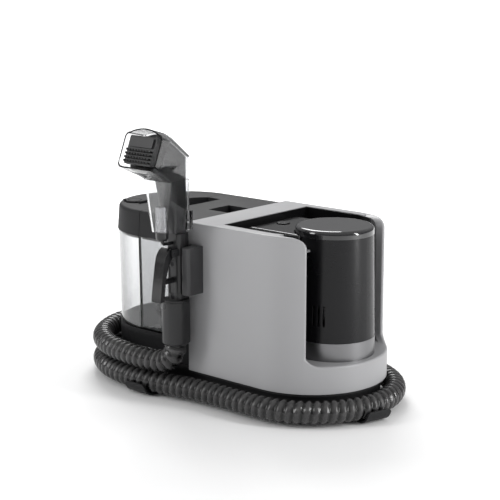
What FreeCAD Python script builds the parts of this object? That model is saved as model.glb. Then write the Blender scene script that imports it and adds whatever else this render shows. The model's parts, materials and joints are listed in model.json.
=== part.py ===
import FreeCAD, Part
import math
import os

# Portable carpet cleaner: a motor body with two lift-out tanks, a hose wrapped round the base
# and an upholstery tool clipped to the front. Millimetres, +Z up, +X from the tanks to the motor
# end, -Y to the tool side. The origin is on the floor, under the middle of the machine, at the
# underside of the centre foot.

V = FreeCAD.Vector
UP = V(0, 0, 1)
ALONG_X = V(1, 0, 0)
ALONG_Y = V(0, 1, 0)

# ---------------------------------------------------------------- driving sizes
FOOT_HEIGHT = 6.0
FOOT_RADIUS = 12.0
BASE_FLOOR = 3.0
BASE_WALL = 3.0
BASE_RADIUS = 107.0          # half width of the base under the body shell
FLANGE_RADIUS = 114.0        # ledge of the base that carries the body shell
FLANGE_THICKNESS = 4.0
TRAY_START_X = -70.0         # where the wider part of the base begins

BODY_START_X = -17.0         # flat end of the body shell, against the tanks
BODY_END_X = 126.0           # centre of the round motor end
BODY_RADIUS = 116.0          # half width of the body shell
BODY_BOTTOM = 45.0
BODY_TOP = 275.0
SHELL_WALL = 3.0
RIM_WIDTH = 18.0             # width of the flat rim round the control recess
RECESS_START_X = 38.0
RIM_ROUNDING = 3.0           # rounding of the rim and of the opening's outer edge
RIM_DEPTH = 11.0             # thickness of the shell beside the opening
RIM_BAND = 15.0              # width of that thicker band
LEDGE_TOP = 86.0             # ledge that the motor cylinder stands on
OPENING_HALF = 91.0          # half width of the opening at the motor end
OPENING_CORNER = 14.0
OPENING_FLARE = 16.0

DECK_TOP = 85.0              # deck that the tanks stand on
DECK_THICKNESS = 3.0
TANK_BASE_RADIUS = 102.0
TANK_RADIUS_LOW = 101.0
TANK_RADIUS_HIGH = 103.5
TANK_END_X = -138.0          # centre of the round tank end
TANK_SPLIT_X = -133.0        # plane between the clean and the dirty tank
TANK_GAP = 0.8               # gap between the tanks, and between tank and body
TANK_STAND = 0.4             # gap under a tank
TANK_WALL = 2.5
TANK_TOP = 235.0
LID_RADIUS_LOW = 104.0
LID_RADIUS_HIGH = 101.0
SEAL_SEAT = 0.5               # how far a lid wall reaches inside the tank wall, over its seal
LID_WALL = TANK_WALL + SEAL_SEAT
LID_ROUNDING = 5.0
LID_GAP = 0.4

POCKET_DEPTH_X = 24.0        # finger pocket: its reach into the clean lid
POCKET_HALF = 55.0
POCKET_FLOOR = 246.0
BAR_START_X = -105.0         # carry bar of the dirty lid
BAR_WIDTH = 27.0
BAR_THICKNESS = 12.0
RELEASE_LENGTH = 42.0        # square recess over the lid release
RELEASE_HALF = 24.0
RELEASE_FLOOR = 252.0

MOTOR_X = 170.0              # axis of the motor cylinder
MOTOR_RADIUS = 58.0          # at the cap
MOTOR_FLARE = 2.8            # how much wider the cylinder is at its foot
MOTOR_WALL = 3.0
TRIM_TOP = 113.0
WRAP_TOP = 266.0
CAP_TOP = 278.0
CAP_ROUNDING = 6.0
BAY_RADIUS = 64.0
BAY_WALL = 3.0
DECK_FLOOR = 250.0           # floor of the control recess
DECK_PLATE = 3.0
HUMP_TOP = 267.0
HUMP_HALF = 56.0
HUMP_START_X = 52.0
HUMP_RAMP = 14.0
BUTTON_X = 72.0
BUTTON_RADIUS = 10.0
BUTTON_TRAVEL = 2.5
SLOT_COUNT = 3
SLOT_WIDTH = 3.4
SLOT_HEIGHT = 30.0
SLOT_BOTTOM = 138.0
SLOT_PITCH_DEG = 7.6
SLOT_FIRST_DEG = -66.5

SHAFT_RADIUS = 4.0
SHAFT_FIT = 0.05             # radial clearance of every shaft and hinge pin
MOVE_GAP = 0.5               # clearance of other pieces that move past each other
FAN_ROOM = 9.0                # air gap round the fan casing inside the motor cylinder
FAN_CASING_RADIUS = MOTOR_RADIUS - MOTOR_WALL - FAN_ROOM
FAN_CASING_WALL = 3.0
IMPELLER_GAP = 5.0            # from the impeller to the casing wall
IMPELLER_RADIUS = FAN_CASING_RADIUS - FAN_CASING_WALL - IMPELLER_GAP
IMPELLER_BLADES = 9
STATOR_RADIUS = FAN_CASING_RADIUS - 10.0

TOOL_X = -17.0               # axis of the upholstery tool
TOOL_Y = -143.0
BARREL_HALF_X = 20.0
BARREL_HALF_Y = 21.0
BARREL_BOTTOM = 93.0
COLLAR_Z = 160.0
GRIP_HALF_X = 13.5
GRIP_FRONT = -149.0
GRIP_BACK = -124.5
GRIP_TOP = 262.0
HANDLE_SPLIT_Y = -137.0
HANDLE_WALL = 2.2
NECK_WALL = 2.0
HEAD_WALL = 2.2
TRIGGER_HALF = 9.5
TRIGGER_PIN_Y = -158.0
TRIGGER_PIN_Z = 235.0
TRIGGER_PIN_RADIUS = 1.6
VALVE_Z = 192.0              # height of the spray valve's plunger
PLUNGER_RADIUS = 2.2

HOSE_RADIUS = 17.0
SOCKET_RADIUS = 17.6
HOOK_WIDTH = 42.0
HOOK_REACH = 160.7           # from the middle plane to the inside of the front hook's lip
HOOK_BACK_REACH = 155.0      # the same for the back hook
HOOK_END_REACH = 151.5       # the same for the hook at the motor end
HOOK_CRADLE = HOSE_RADIUS + 1.6
HOOK_LIP_TOP = 21.0
HOOK_THICKNESS = 3.2
HOOK_CORNER = 6.0
PORT_RADIUS = 19.0

SCREW_HEAD_RADIUS = 3.5
SCREW_RADIUS = 1.6

os.makedirs("parts", exist_ok=True)
made = {}


# ---------------------------------------------------------------- helpers
def save(name, shape):
    """Keep a finished piece and write its STEP file."""
    shape = shape.removeSplitter()
    made[name] = shape
    shape.exportStep("parts/%s.step" % name)


def cylinder(x, y, z, radius, height, axis=UP):
    return Part.makeCylinder(radius, height, V(x, y, z), axis)


def pipe(x, y, z, outer, inner, height, axis=UP):
    return cylinder(x, y, z, outer, height, axis).cut(cylinder(x, y, z, inner, height, axis))


def block(x0, x1, y0, y1, z0, z1):
    return Part.makeBox(x1 - x0, y1 - y0, z1 - z0, V(x0, y0, z0))


def polygon(points):
    return Part.makePolygon([V(*p) for p in points] + [V(*points[0])])


def prism(points, reach):
    return Part.Face(polygon(points)).extrude(V(*reach))


def stadium_wire(x_flat, x_arc, radius, z):
    """Flat end at x_flat, straight sides, half-round end about x_arc."""
    side = 1 if x_arc > x_flat else -1
    near, far = V(x_flat, -radius, z), V(x_arc, -radius, z)
    far_back, near_back = V(x_arc, radius, z), V(x_flat, radius, z)
    tip = V(x_arc + side * radius, 0, z)
    edges = [Part.LineSegment(near, far), Part.Arc(far, tip, far_back),
             Part.LineSegment(far_back, near_back), Part.LineSegment(near_back, near)]
    return Part.Wire([edge.toShape() for edge in edges])


def stadium(x_flat, x_arc, radius, z0, z1, radius_top=None):
    """Upright stadium block, straight or tapered to radius_top."""
    if radius_top is None:
        return Part.Face(stadium_wire(x_flat, x_arc, radius, z0)).extrude(V(0, 0, z1 - z0))
    wires = [stadium_wire(x_flat, x_arc, radius, z0), stadium_wire(x_flat, x_arc, radius_top, z1)]
    return Part.makeLoft(wires, True, True)


def rounded_wire(centre, half_u, half_v, radius, u, v):
    """Rounded rectangle in the plane of the unit vectors u and v."""
    def at(a, b):
        return centre + u * a + v * b
    k = radius * (1 - math.sqrt(0.5))
    edges = []
    corners = [(1, 1), (-1, 1), (-1, -1), (1, -1)]
    for index, (a, b) in enumerate(corners):
        along_v = (at(a * half_u, b * (half_v - radius)), at(a * (half_u - radius), b * half_v))
        first, last = along_v if index % 2 == 0 else along_v[::-1]
        middle = at(a * (half_u - k), b * (half_v - k))
        edges.append(Part.Arc(first, middle, last))
    lines = []
    for index in range(4):
        start, end = edges[index].EndPoint, edges[(index + 1) % 4].StartPoint
        lines.append(Part.LineSegment(start, end))
    shapes = []
    for arc, line in zip(edges, lines):
        shapes += [arc.toShape(), line.toShape()]
    return Part.Wire(shapes)


def rounded_block(x, y, z0, z1, half_x, half_y, radius):
    wire = rounded_wire(V(x, y, z0), half_x, half_y, radius, ALONG_X, ALONG_Y)
    return Part.Face(wire).extrude(V(0, 0, z1 - z0))


def loft(wires):
    return Part.makeLoft(wires, True, True)


def round_edges(shape, radius, wanted):
    """Fillet the edges whose bounding box passes the test."""
    edges = [edge for edge in shape.Edges if wanted(edge.BoundBox)]
    return shape.makeFillet(radius, edges)


def flat_at(z):
    return lambda box: abs(box.ZMin - z) < 1e-3 and abs(box.ZMax - z) < 1e-3


def bent_path(points, share=0.45, radii=None):
    """Straight runs joined by tangent arcs; each arc is as large as its two runs allow."""
    points = [V(*p) for p in points]
    edges, at = [], points[0]
    for before, corner, after in zip(points, points[1:], points[2:]):
        back, ahead = before - corner, after - corner
        reach = share * min(back.Length, ahead.Length)
        back, ahead = back.normalize(), ahead.normalize()
        half_turn = (math.pi - back.getAngle(ahead)) / 2
        radius = reach / math.tan(half_turn)
        if radii is not None:
            radii.append(radius)
        start, end = corner + back * reach, corner + ahead * reach
        bisector = (back + ahead).normalize()
        middle = corner + bisector * (radius / math.cos(half_turn) - radius)
        edges.append(Part.LineSegment(at, start).toShape())
        edges.append(Part.Arc(start, middle, end).toShape())
        at = end
    edges.append(Part.LineSegment(at, points[-1]).toShape())
    return Part.Wire(edges)


def tube(points, radius, bore=0.0, share=0.45, radii=None):
    path = bent_path(points, share, radii)
    start, ahead = V(*points[0]), (V(*points[1]) - V(*points[0])).normalize()
    solid = None
    for size in ([radius, bore] if bore else [radius]):
        ring = Part.Wire([Part.makeCircle(size, start, ahead)])
        swept = path.makePipeShell([ring], True, False)
        solid = swept if solid is None else solid.cut(swept)
    return solid


def spring(x, y, z, coil_radius, wire_radius, height, turns):
    """Closed coil spring standing on z, as rings joined by a thin sleeve."""
    coil = pipe(x, y, z, coil_radius, coil_radius - wire_radius, height)
    for turn in range(turns):
        level = z + wire_radius + turn * (height - 2 * wire_radius) / (turns - 1)
        coil = coil.fuse(Part.makeTorus(coil_radius, wire_radius, V(x, y, level), UP))
    return coil


def screw(x, y, z, length, axis=UP):
    """Pan-head screw: the shank runs from the point along the axis, the head is behind it."""
    shank = cylinder(x, y, z, SCREW_RADIUS, length, axis)
    back = axis * -2.2
    head = cylinder(x + back.x, y + back.y, z + back.z, SCREW_HEAD_RADIUS, 2.2, axis)
    cross = cylinder(x + back.x, y + back.y, z + back.z, 1.2, 1.0, axis)
    return shank.fuse(head).cut(cross)


# ---------------------------------------------------------------- base
BASE_BOTTOM = FOOT_HEIGHT
TRAY_FLOOR = BASE_BOTTOM + BASE_FLOOR
RISER_X, RISER_Y, RISER_RADIUS = -40.0, 40.0, 13.0
VALVE_X, VALVE_RADIUS = -190.0, 11.0
PORT_X, PORT_MOUTH_X, PORT_Y, PORT_Z = -40.0, -75.0, 139.0, 22.5
FEET = [(0, 0), (-165, -58), (-165, 58), (165, -62), (165, 62)]
CUP_FLOOR_Z = 68.0
BASE_SCREWS = [(-100, -60), (-100, 60), (-40, -80), (90, -92), (90, 92), (205, -45), (205, 45)]
BOSS_RADIUS = 5.0
PUMP_MOTOR_RADIUS = 14.0
GLAND_X, GLAND_Z = 62.0, 105.0
PUMP_X, PUMP_Y, PUMP_Z = 40.0, -48.0, 28.0


def make_base():
    outer = stadium(TRAY_START_X, BODY_END_X, BASE_RADIUS, BASE_BOTTOM, BODY_BOTTOM)
    outer = outer.fuse(stadium(BODY_START_X, TANK_END_X, TANK_BASE_RADIUS, BASE_BOTTOM, DECK_TOP))
    flange = stadium(BODY_START_X, BODY_END_X, FLANGE_RADIUS, BODY_BOTTOM - FLANGE_THICKNESS, BODY_BOTTOM)
    outer = outer.fuse(flange)
    tray_hollow = stadium(BODY_START_X, BODY_END_X, BASE_RADIUS - BASE_WALL, TRAY_FLOOR, BODY_BOTTOM)
    low_hollow = stadium(BODY_START_X, TANK_END_X, TANK_BASE_RADIUS - BASE_WALL, TRAY_FLOOR,
                         DECK_TOP - DECK_THICKNESS)
    low_hollow = low_hollow.cut(block(BODY_START_X - BASE_WALL, BODY_START_X, -BODY_RADIUS, BODY_RADIUS,
                                      BODY_BOTTOM, DECK_TOP))
    base = outer.cut(tray_hollow).cut(low_hollow)
    base = base.cut(cylinder(RISER_X, RISER_Y, TRAY_FLOOR + 20, RISER_RADIUS + MOVE_GAP, DECK_TOP))
    base = base.fuse(cylinder(VALVE_X, 0, CUP_FLOOR_Z, VALVE_RADIUS + 4, DECK_TOP - CUP_FLOOR_Z - 1))
    base = base.cut(cylinder(VALVE_X, 0, CUP_FLOOR_Z + 3, VALVE_RADIUS + 1, DECK_TOP))
    base = base.cut(cylinder(VALVE_X, 0, CUP_FLOOR_Z - 1, 2.5, 20))
    base = base.cut(cylinder(PORT_X, BASE_RADIUS - 20, PORT_Z, PORT_RADIUS - 4, 60, ALONG_Y))
    for x, y in BASE_SCREWS:
        boss = cylinder(x, y, BASE_BOTTOM, BOSS_RADIUS, BODY_BOTTOM - BASE_BOTTOM - FLANGE_THICKNESS)
        base = base.fuse(boss)
        base = base.cut(cylinder(x, y, BASE_BOTTOM, SCREW_HEAD_RADIUS + 0.4, 8))
        base = base.cut(cylinder(x, y, BASE_BOTTOM, SCREW_RADIUS + 0.02, 30))
    saddle = block(PUMP_X - 26, PUMP_X + 6, PUMP_Y - 16, PUMP_Y + 16, BASE_BOTTOM + 1, PUMP_Z - 5)
    base = base.fuse(saddle).cut(cylinder(PUMP_X - 60, PUMP_Y, PUMP_Z, PUMP_MOTOR_RADIUS, 120, ALONG_X))
    save("base_tray", base)
    feet = [round_edges(cylinder(x, y, 0, FOOT_RADIUS, FOOT_HEIGHT), 1.5, flat_at(0)) for x, y in FEET]
    save("rubber_feet", Part.makeCompound(feet))
    screws = [screw(x, y, BASE_BOTTOM + 8, 20) for x, y in BASE_SCREWS]
    save("base_screws", Part.makeCompound(screws))


def hose_hook(reach, inner):
    """Tray, curled lip and root of a hose hook that points to -Y and cradles the lower hose."""
    half = HOOK_WIDTH / 2
    centre_y = -reach + HOOK_CRADLE
    low = LOWER - HOOK_CRADLE - HOOK_THICKNESS
    outer = HOOK_CRADLE + HOOK_THICKNESS
    curl = cylinder(-half, centre_y, LOWER, outer, 2 * half, ALONG_X)
    curl = curl.cut(cylinder(-half - 1, centre_y, LOWER, HOOK_CRADLE, 2 * half + 2, ALONG_X))
    curl = curl.common(block(-half, half, centre_y - outer - 1, centre_y, low - 1, HOOK_LIP_TOP))
    corners = [edge for edge in curl.Edges if abs(edge.BoundBox.ZMax - HOOK_LIP_TOP) < 1e-4
               and edge.BoundBox.XLength < 1e-4 and edge.BoundBox.ZLength < 1e-4]
    curl = curl.makeFillet(HOOK_CORNER, corners)
    tray = block(-half, half, centre_y, -inner, low, low + HOOK_THICKNESS)
    root = block(-half, half, -inner - 6, -inner, low, BASE_BOTTOM)
    return tray.fuse(root).fuse(curl).removeSplitter()


def place(shape, x, y, turn_deg):
    shape = shape.copy()
    shape.rotate(V(0, 0, 0), UP, turn_deg)
    shape.translate(V(x, y, 0))
    return shape


def make_hooks():
    inner = TANK_BASE_RADIUS - 12
    hooks = [place(hose_hook(HOOK_REACH, inner), -88, 0, 0),
             place(hose_hook(HOOK_BACK_REACH, inner), -150, 0, 180),
             place(hose_hook(HOOK_END_REACH, BASE_RADIUS - 12), BODY_END_X, 19, 74)]
    save("hose_hooks", Part.makeCompound(hooks))


# ---------------------------------------------------------------- body shell and control deck
def bay_region(grow, z0, z1):
    """Space round the motor cylinder, open to the motor end."""
    radius = BAY_RADIUS + grow
    edge_x = BODY_END_X + math.sqrt(BODY_RADIUS ** 2 - OPENING_HALF ** 2)
    edge_y = OPENING_HALF - BAY_WALL - 2 + grow
    wedge = [(MOTOR_X, -radius, z0), (edge_x, -edge_y, z0), (edge_x + 80, -edge_y - 60, z0),
             (edge_x + 80, edge_y + 60, z0), (edge_x, edge_y, z0), (MOTOR_X, radius, z0)]
    return cylinder(MOTOR_X, 0, z0, radius, z1 - z0).fuse(prism(wedge, (0, 0, z1 - z0)))


def opening_cutter(half, z0):
    """U-shaped cut of the motor end, with rounded low corners and flared top corners."""
    x0 = BODY_END_X + 25
    low, flare = OPENING_CORNER, OPENING_FLARE
    k_low, k_flare = low * (1 - math.sqrt(0.5)), flare * (1 - math.sqrt(0.5))
    top = BODY_TOP
    points = []
    for side in (-1, 1):
        points.append([V(x0, side * (half + flare), top), V(x0, side * (half + k_flare), top - k_flare),
                       V(x0, side * half, top - flare)])
        points.append([V(x0, side * half, z0 + low), V(x0, side * (half - k_low), z0 + k_low),
                       V(x0, side * (half - low), z0)])
    left_flare, left_low, right_flare, right_low = points
    over = 20
    edges = [Part.Arc(*left_flare), Part.LineSegment(left_flare[2], left_low[0]), Part.Arc(*left_low),
             Part.LineSegment(left_low[2], right_low[2]), Part.Arc(*right_low[::-1]),
             Part.LineSegment(right_low[0], right_flare[2]), Part.Arc(*right_flare[::-1]),
             Part.LineSegment(right_flare[0], right_flare[0] + UP * over),
             Part.LineSegment(right_flare[0] + UP * over, left_flare[0] + UP * over),
             Part.LineSegment(left_flare[0] + UP * over, left_flare[0])]
    return Part.Face(Part.Wire([edge.toShape() for edge in edges])).extrude(V(150, 0, 0))


DUCT_Y, DUCT_RADIUS = -40.0, 11.0
DUCT_INLET_Z = 252.0
FAN_INLET_Z = 229.0
BOARD_POSTS = [(-54, 106), (-54, 184), (54, 106), (54, 184)]


def rim_band(gap):
    """Thicker band of the shell beside the opening, grown by a gap."""
    top = BODY_TOP - SHELL_WALL
    band = stadium(BODY_START_X, BODY_END_X, BODY_RADIUS - SHELL_WALL + gap, BODY_BOTTOM, top)
    band = band.common(opening_cutter(OPENING_HALF + RIM_BAND + gap, LEDGE_TOP - RIM_BAND - gap))
    return band.cut(stadium(BODY_START_X, BODY_END_X, BODY_RADIUS - RIM_DEPTH - gap, BODY_BOTTOM, top))


def on_rim(edge):
    """True for the outer edges of the rim and of the opening."""
    if edge.BoundBox.ZMin < LEDGE_TOP - 1 or edge.Length > 1.9 * BODY_RADIUS and edge.BoundBox.XLength < 1e-4:
        return False
    for vertex in edge.Vertexes:
        spot = vertex.Point
        radius = math.hypot(spot.x - BODY_END_X, spot.y) if spot.x > BODY_END_X else abs(spot.y)
        if abs(radius - BODY_RADIUS) > 0.01:
            return False
    return True


def make_shell():
    outer = stadium(BODY_START_X, BODY_END_X, BODY_RADIUS, BODY_BOTTOM, BODY_TOP)
    outer = outer.cut(opening_cutter(OPENING_HALF, LEDGE_TOP))
    outer = outer.makeFillet(RIM_ROUNDING, [edge for edge in outer.Edges if on_rim(edge)])
    hollow = stadium(BODY_START_X + SHELL_WALL, BODY_END_X, BODY_RADIUS - SHELL_WALL, BODY_BOTTOM,
                     BODY_TOP - SHELL_WALL).cut(rim_band(0))
    ledge = stadium(BODY_END_X - 60, BODY_END_X, BODY_RADIUS - SHELL_WALL, LEDGE_TOP - SHELL_WALL, LEDGE_TOP)
    ledge = ledge.cut(cylinder(MOTOR_X, 0, BODY_BOTTOM, MOTOR_RADIUS - 8, BODY_TOP))
    recess = stadium(RECESS_START_X, BODY_END_X, BODY_RADIUS - RIM_WIDTH, DECK_FLOOR, BODY_TOP + 5)
    shell = outer.cut(hollow).cut(recess).fuse(ledge)
    inlet = cylinder(BODY_START_X - 1, DUCT_Y, DUCT_INLET_Z, DUCT_RADIUS, SHELL_WALL + 2, ALONG_X)
    shell = shell.cut(inlet)
    shell = shell.cut(cylinder(GLAND_X, BODY_RADIUS - 10, GLAND_Z, 8.0, 20, ALONG_Y))
    for y, z in BOARD_POSTS:
        shell = shell.fuse(cylinder(BODY_START_X + SHELL_WALL - 1, y, z, 3.5, 9, ALONG_X))
    save("body_shell", shell)

    wall_top = DECK_FLOOR - DECK_PLATE
    inside = stadium(BODY_START_X, BODY_END_X, BODY_RADIUS - SHELL_WALL - 0.2, LEDGE_TOP, BODY_TOP)
    wall = bay_region(BAY_WALL, LEDGE_TOP, BODY_TOP - SHELL_WALL).cut(bay_region(0, LEDGE_TOP, BODY_TOP))
    wall = wall.common(inside)
    wall = wall.cut(block(0, MOTOR_X + 4, -BODY_RADIUS, BODY_RADIUS, wall_top, BODY_TOP))
    wall = wall.cut(opening_cutter(OPENING_HALF, LEDGE_TOP - 50)).cut(rim_band(0.3))
    wall = wall.cut(cylinder(MOTOR_X - 90, 0, FAN_INLET_Z, DUCT_RADIUS + 1, 60, ALONG_X))
    save("bay_liner", wall)


def make_deck():
    low = DECK_FLOOR - DECK_PLATE
    rim = BODY_RADIUS - RIM_WIDTH - 0.3
    tray = stadium(RECESS_START_X + 0.3, BODY_END_X, rim, low, BODY_TOP - 0.5)
    hollow = stadium(RECESS_START_X + 2.8, BODY_END_X, rim - 2.5, DECK_FLOOR, BODY_TOP)
    tray = tray.cut(hollow)
    tray = tray.cut(block(MOTOR_X + 2, 300, -BODY_RADIUS, BODY_RADIUS, low - 1, BODY_TOP))
    tray = tray.cut(cylinder(MOTOR_X, 0, low - 1, MOTOR_RADIUS + 2, 60))
    tray = tray.cut(cylinder(BUTTON_X, 0, low - 1, 3.0, 10))

    foot = DECK_FLOOR
    profile = [(HUMP_START_X - HUMP_RAMP, -HUMP_HALF, foot), (MOTOR_X, -HUMP_HALF, foot),
               (MOTOR_X, -HUMP_HALF, HUMP_TOP), (HUMP_START_X + 4, -HUMP_HALF, HUMP_TOP),
               (HUMP_START_X, -HUMP_HALF, HUMP_TOP - 1.2)]
    hump = prism(profile, (0, 2 * HUMP_HALF, 0))
    sides = [edge for edge in hump.Edges if edge.BoundBox.XLength > 60 and edge.BoundBox.ZMin > foot + 1]
    hump = hump.makeFillet(4.0, sides)
    hump = hump.cut(cylinder(MOTOR_X, 0, foot - 1, MOTOR_RADIUS + 2, 60))
    inner = [(HUMP_START_X - 2, -HUMP_HALF + 2.5, foot),
             (MOTOR_X - MOTOR_RADIUS - 12, -HUMP_HALF + 2.5, foot),
             (MOTOR_X - MOTOR_RADIUS - 12, -HUMP_HALF + 2.5, HUMP_TOP - 3),
             (HUMP_START_X + 6, -HUMP_HALF + 2.5, HUMP_TOP - 3)]
    hump = hump.cut(prism(inner, (0, 2 * HUMP_HALF - 5, 0)))
    hump = hump.cut(cylinder(BUTTON_X, 0, foot, BUTTON_RADIUS + MOVE_GAP, 40))
    save("control_deck", tray.fuse(hump))

    plate_low = HUMP_TOP - 3
    collar_low = plate_low - 1.8
    switch_top = DECK_FLOOR + 0.2
    stem_low = switch_top + BUTTON_TRAVEL + 0.3
    button = cylinder(BUTTON_X, 0, collar_low, BUTTON_RADIUS, HUMP_TOP + 1.5 - collar_low)
    button = round_edges(button, 0.8, flat_at(HUMP_TOP + 1.5))
    collar = cylinder(BUTTON_X, 0, collar_low, BUTTON_RADIUS + 2, 1.5)
    stem = cylinder(BUTTON_X, 0, stem_low, 3.0, collar_low - stem_low)
    save("power_button", button.fuse(stem).fuse(collar))
    save("button_spring", spring(BUTTON_X, 0, DECK_FLOOR, 5.0, 0.7, collar_low - DECK_FLOOR, 5))
    switch = block(BUTTON_X - 9, BUTTON_X + 9, -7.5, 7.5, low - 6, low)
    save("power_switch", switch.fuse(cylinder(BUTTON_X, 0, low, 2.5, switch_top - low)))


# ---------------------------------------------------------------- motor cylinder
def make_motor():
    foot_radius = MOTOR_RADIUS + MOTOR_FLARE
    ring = pipe(MOTOR_X, 0, LEDGE_TOP, foot_radius + 0.4, MOTOR_RADIUS - MOTOR_WALL, TRIM_TOP - LEDGE_TOP)
    save("motor_trim_ring", ring)

    wrap = Part.makeCone(foot_radius, MOTOR_RADIUS - 0.4, WRAP_TOP - TRIM_TOP, V(MOTOR_X, 0, TRIM_TOP))
    wrap = wrap.cut(cylinder(MOTOR_X, 0, TRIM_TOP, MOTOR_RADIUS - MOTOR_WALL, WRAP_TOP - TRIM_TOP))
    for index in range(SLOT_COUNT):
        slot = block(MOTOR_X + MOTOR_RADIUS - 8, MOTOR_X + MOTOR_RADIUS + 8, -SLOT_WIDTH / 2,
                     SLOT_WIDTH / 2, SLOT_BOTTOM, SLOT_BOTTOM + SLOT_HEIGHT)
        slot.rotate(V(MOTOR_X, 0, 0), UP, SLOT_FIRST_DEG - index * SLOT_PITCH_DEG)
        wrap = wrap.cut(slot)
    wrap = wrap.cut(cylinder(MOTOR_X - 90, 0, FAN_INLET_Z, DUCT_RADIUS + 1, 60, ALONG_X))
    save("motor_wrap", wrap)

    cap = cylinder(MOTOR_X, 0, WRAP_TOP, MOTOR_RADIUS, CAP_TOP - WRAP_TOP)
    cap = round_edges(cap, CAP_ROUNDING, flat_at(CAP_TOP))
    cap = cap.cut(cylinder(MOTOR_X, 0, WRAP_TOP, MOTOR_RADIUS - MOTOR_WALL, 8))
    save("motor_cap", cap)

    # fan on top, motor under it, on one shaft between two bushes
    stator_z, stator_top = LEDGE_TOP + 3, 196.0
    low_gasket = pipe(MOTOR_X, 0, LEDGE_TOP, MOTOR_RADIUS - MOTOR_WALL - 0.4, MOTOR_RADIUS - 7.5, 3)
    high_gasket = pipe(MOTOR_X, 0, stator_top, 30, 20, 4)
    save("motor_gaskets", Part.makeCompound([low_gasket, high_gasket]))
    stator = cylinder(MOTOR_X, 0, stator_z, STATOR_RADIUS, stator_top - stator_z)
    stator = round_edges(stator, 4.0, flat_at(stator_top))
    stator = stator.fuse(cylinder(MOTOR_X, 0, stator_z, MOTOR_RADIUS - MOTOR_WALL - 0.4, 4))
    stator = stator.cut(cylinder(MOTOR_X, 0, stator_z, 24, stator_top - stator_z))
    bearings = []
    for z in (stator_z, stator_top - 8):
        stator = stator.fuse(pipe(MOTOR_X, 0, z, 26, 8, 8))
        bearings.append(pipe(MOTOR_X, 0, z, 8, SHAFT_RADIUS + SHAFT_FIT, 8))
    save("motor_stator", stator)
    save("shaft_bearings", Part.makeCompound(bearings))
    casing_low, casing_top = stator_top + 4, 256.0
    casing = cylinder(MOTOR_X, 0, casing_low, FAN_CASING_RADIUS, casing_top - casing_low)
    casing = casing.cut(cylinder(MOTOR_X, 0, casing_low + FAN_CASING_WALL,
                                 FAN_CASING_RADIUS - FAN_CASING_WALL,
                                 casing_top - casing_low - 2 * FAN_CASING_WALL))
    casing = casing.cut(cylinder(MOTOR_X, 0, casing_low - 1, SHAFT_RADIUS + 2, 10))
    casing = casing.cut(cylinder(MOTOR_X - 60, 0, FAN_INLET_Z, DUCT_RADIUS, 30, ALONG_X))
    save("fan_casing", casing)

    shaft = cylinder(MOTOR_X, 0, stator_z + 0.5, SHAFT_RADIUS, 222 - stator_z)
    rotor = cylinder(MOTOR_X, 0, stator_z + 12, 20, stator_top - stator_z - 24)
    save("motor_rotor", shaft.fuse(rotor))
    disc_z = 207.0
    wheel = cylinder(MOTOR_X, 0, disc_z, IMPELLER_RADIUS, 2.5)
    wheel = wheel.fuse(cylinder(MOTOR_X, 0, disc_z, 9, 14)).cut(
        cylinder(MOTOR_X, 0, disc_z - 1, SHAFT_RADIUS, 30))
    for index in range(IMPELLER_BLADES):
        blade = block(MOTOR_X + 8, MOTOR_X + IMPELLER_RADIUS - 1, -1, 1, disc_z + 2, disc_z + 13)
        blade.rotate(V(MOTOR_X + 8, 0, 0), UP, 25)
        blade.rotate(V(MOTOR_X, 0, 0), UP, index * 360.0 / IMPELLER_BLADES)
        wheel = wheel.fuse(blade)
    wheel = wheel.common(cylinder(MOTOR_X, 0, disc_z, IMPELLER_RADIUS, 30))
    wheel = wheel.cut(cylinder(MOTOR_X, 0, disc_z - 1, SHAFT_RADIUS, 30))
    save("impeller", wheel)


# ---------------------------------------------------------------- air and water inside


def make_ducts():
    air = [(BODY_START_X + SHELL_WALL, DUCT_Y, DUCT_INLET_Z - 1), (8, DUCT_Y, DUCT_INLET_Z - 1),
           (34, DUCT_Y + 8, FAN_INLET_Z), (68, 0, FAN_INLET_Z), (MOTOR_X - FAN_CASING_RADIUS, 0, FAN_INLET_Z)]
    save("air_duct", tube(air, DUCT_RADIUS, DUCT_RADIUS - 1.6))
    recovery = [(PORT_X, BASE_RADIUS - BASE_WALL - 1, PORT_Z + 1), (PORT_X, RISER_Y, PORT_Z + 1),
                (PORT_X, RISER_Y, DECK_TOP - 1)]
    save("recovery_duct", tube(recovery, RISER_RADIUS, RISER_RADIUS - 2))
    supply = [(VALVE_X, 0, CUP_FLOOR_Z), (VALVE_X, 0, 44), (VALVE_X + 60, -34, 26), (-20, -74, 22),
              (36, -82, 22), (64, -82, 23), (64, PUMP_Y - 16, 23)]
    save("supply_tube", tube(supply, 4.0, 2.5))
    outlet_x = PUMP_X + 46
    delivery = [(outlet_x, PUMP_Y, PUMP_Z), (outlet_x + 24, PUMP_Y, PUMP_Z), (outlet_x + 30, 20, 20),
                (70, 70, 18), (16, 80, 17), (-4, 88, 17), (-4, BASE_RADIUS - BASE_WALL, 17)]
    save("delivery_tube", tube(delivery, 4.0, 2.5))


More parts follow.
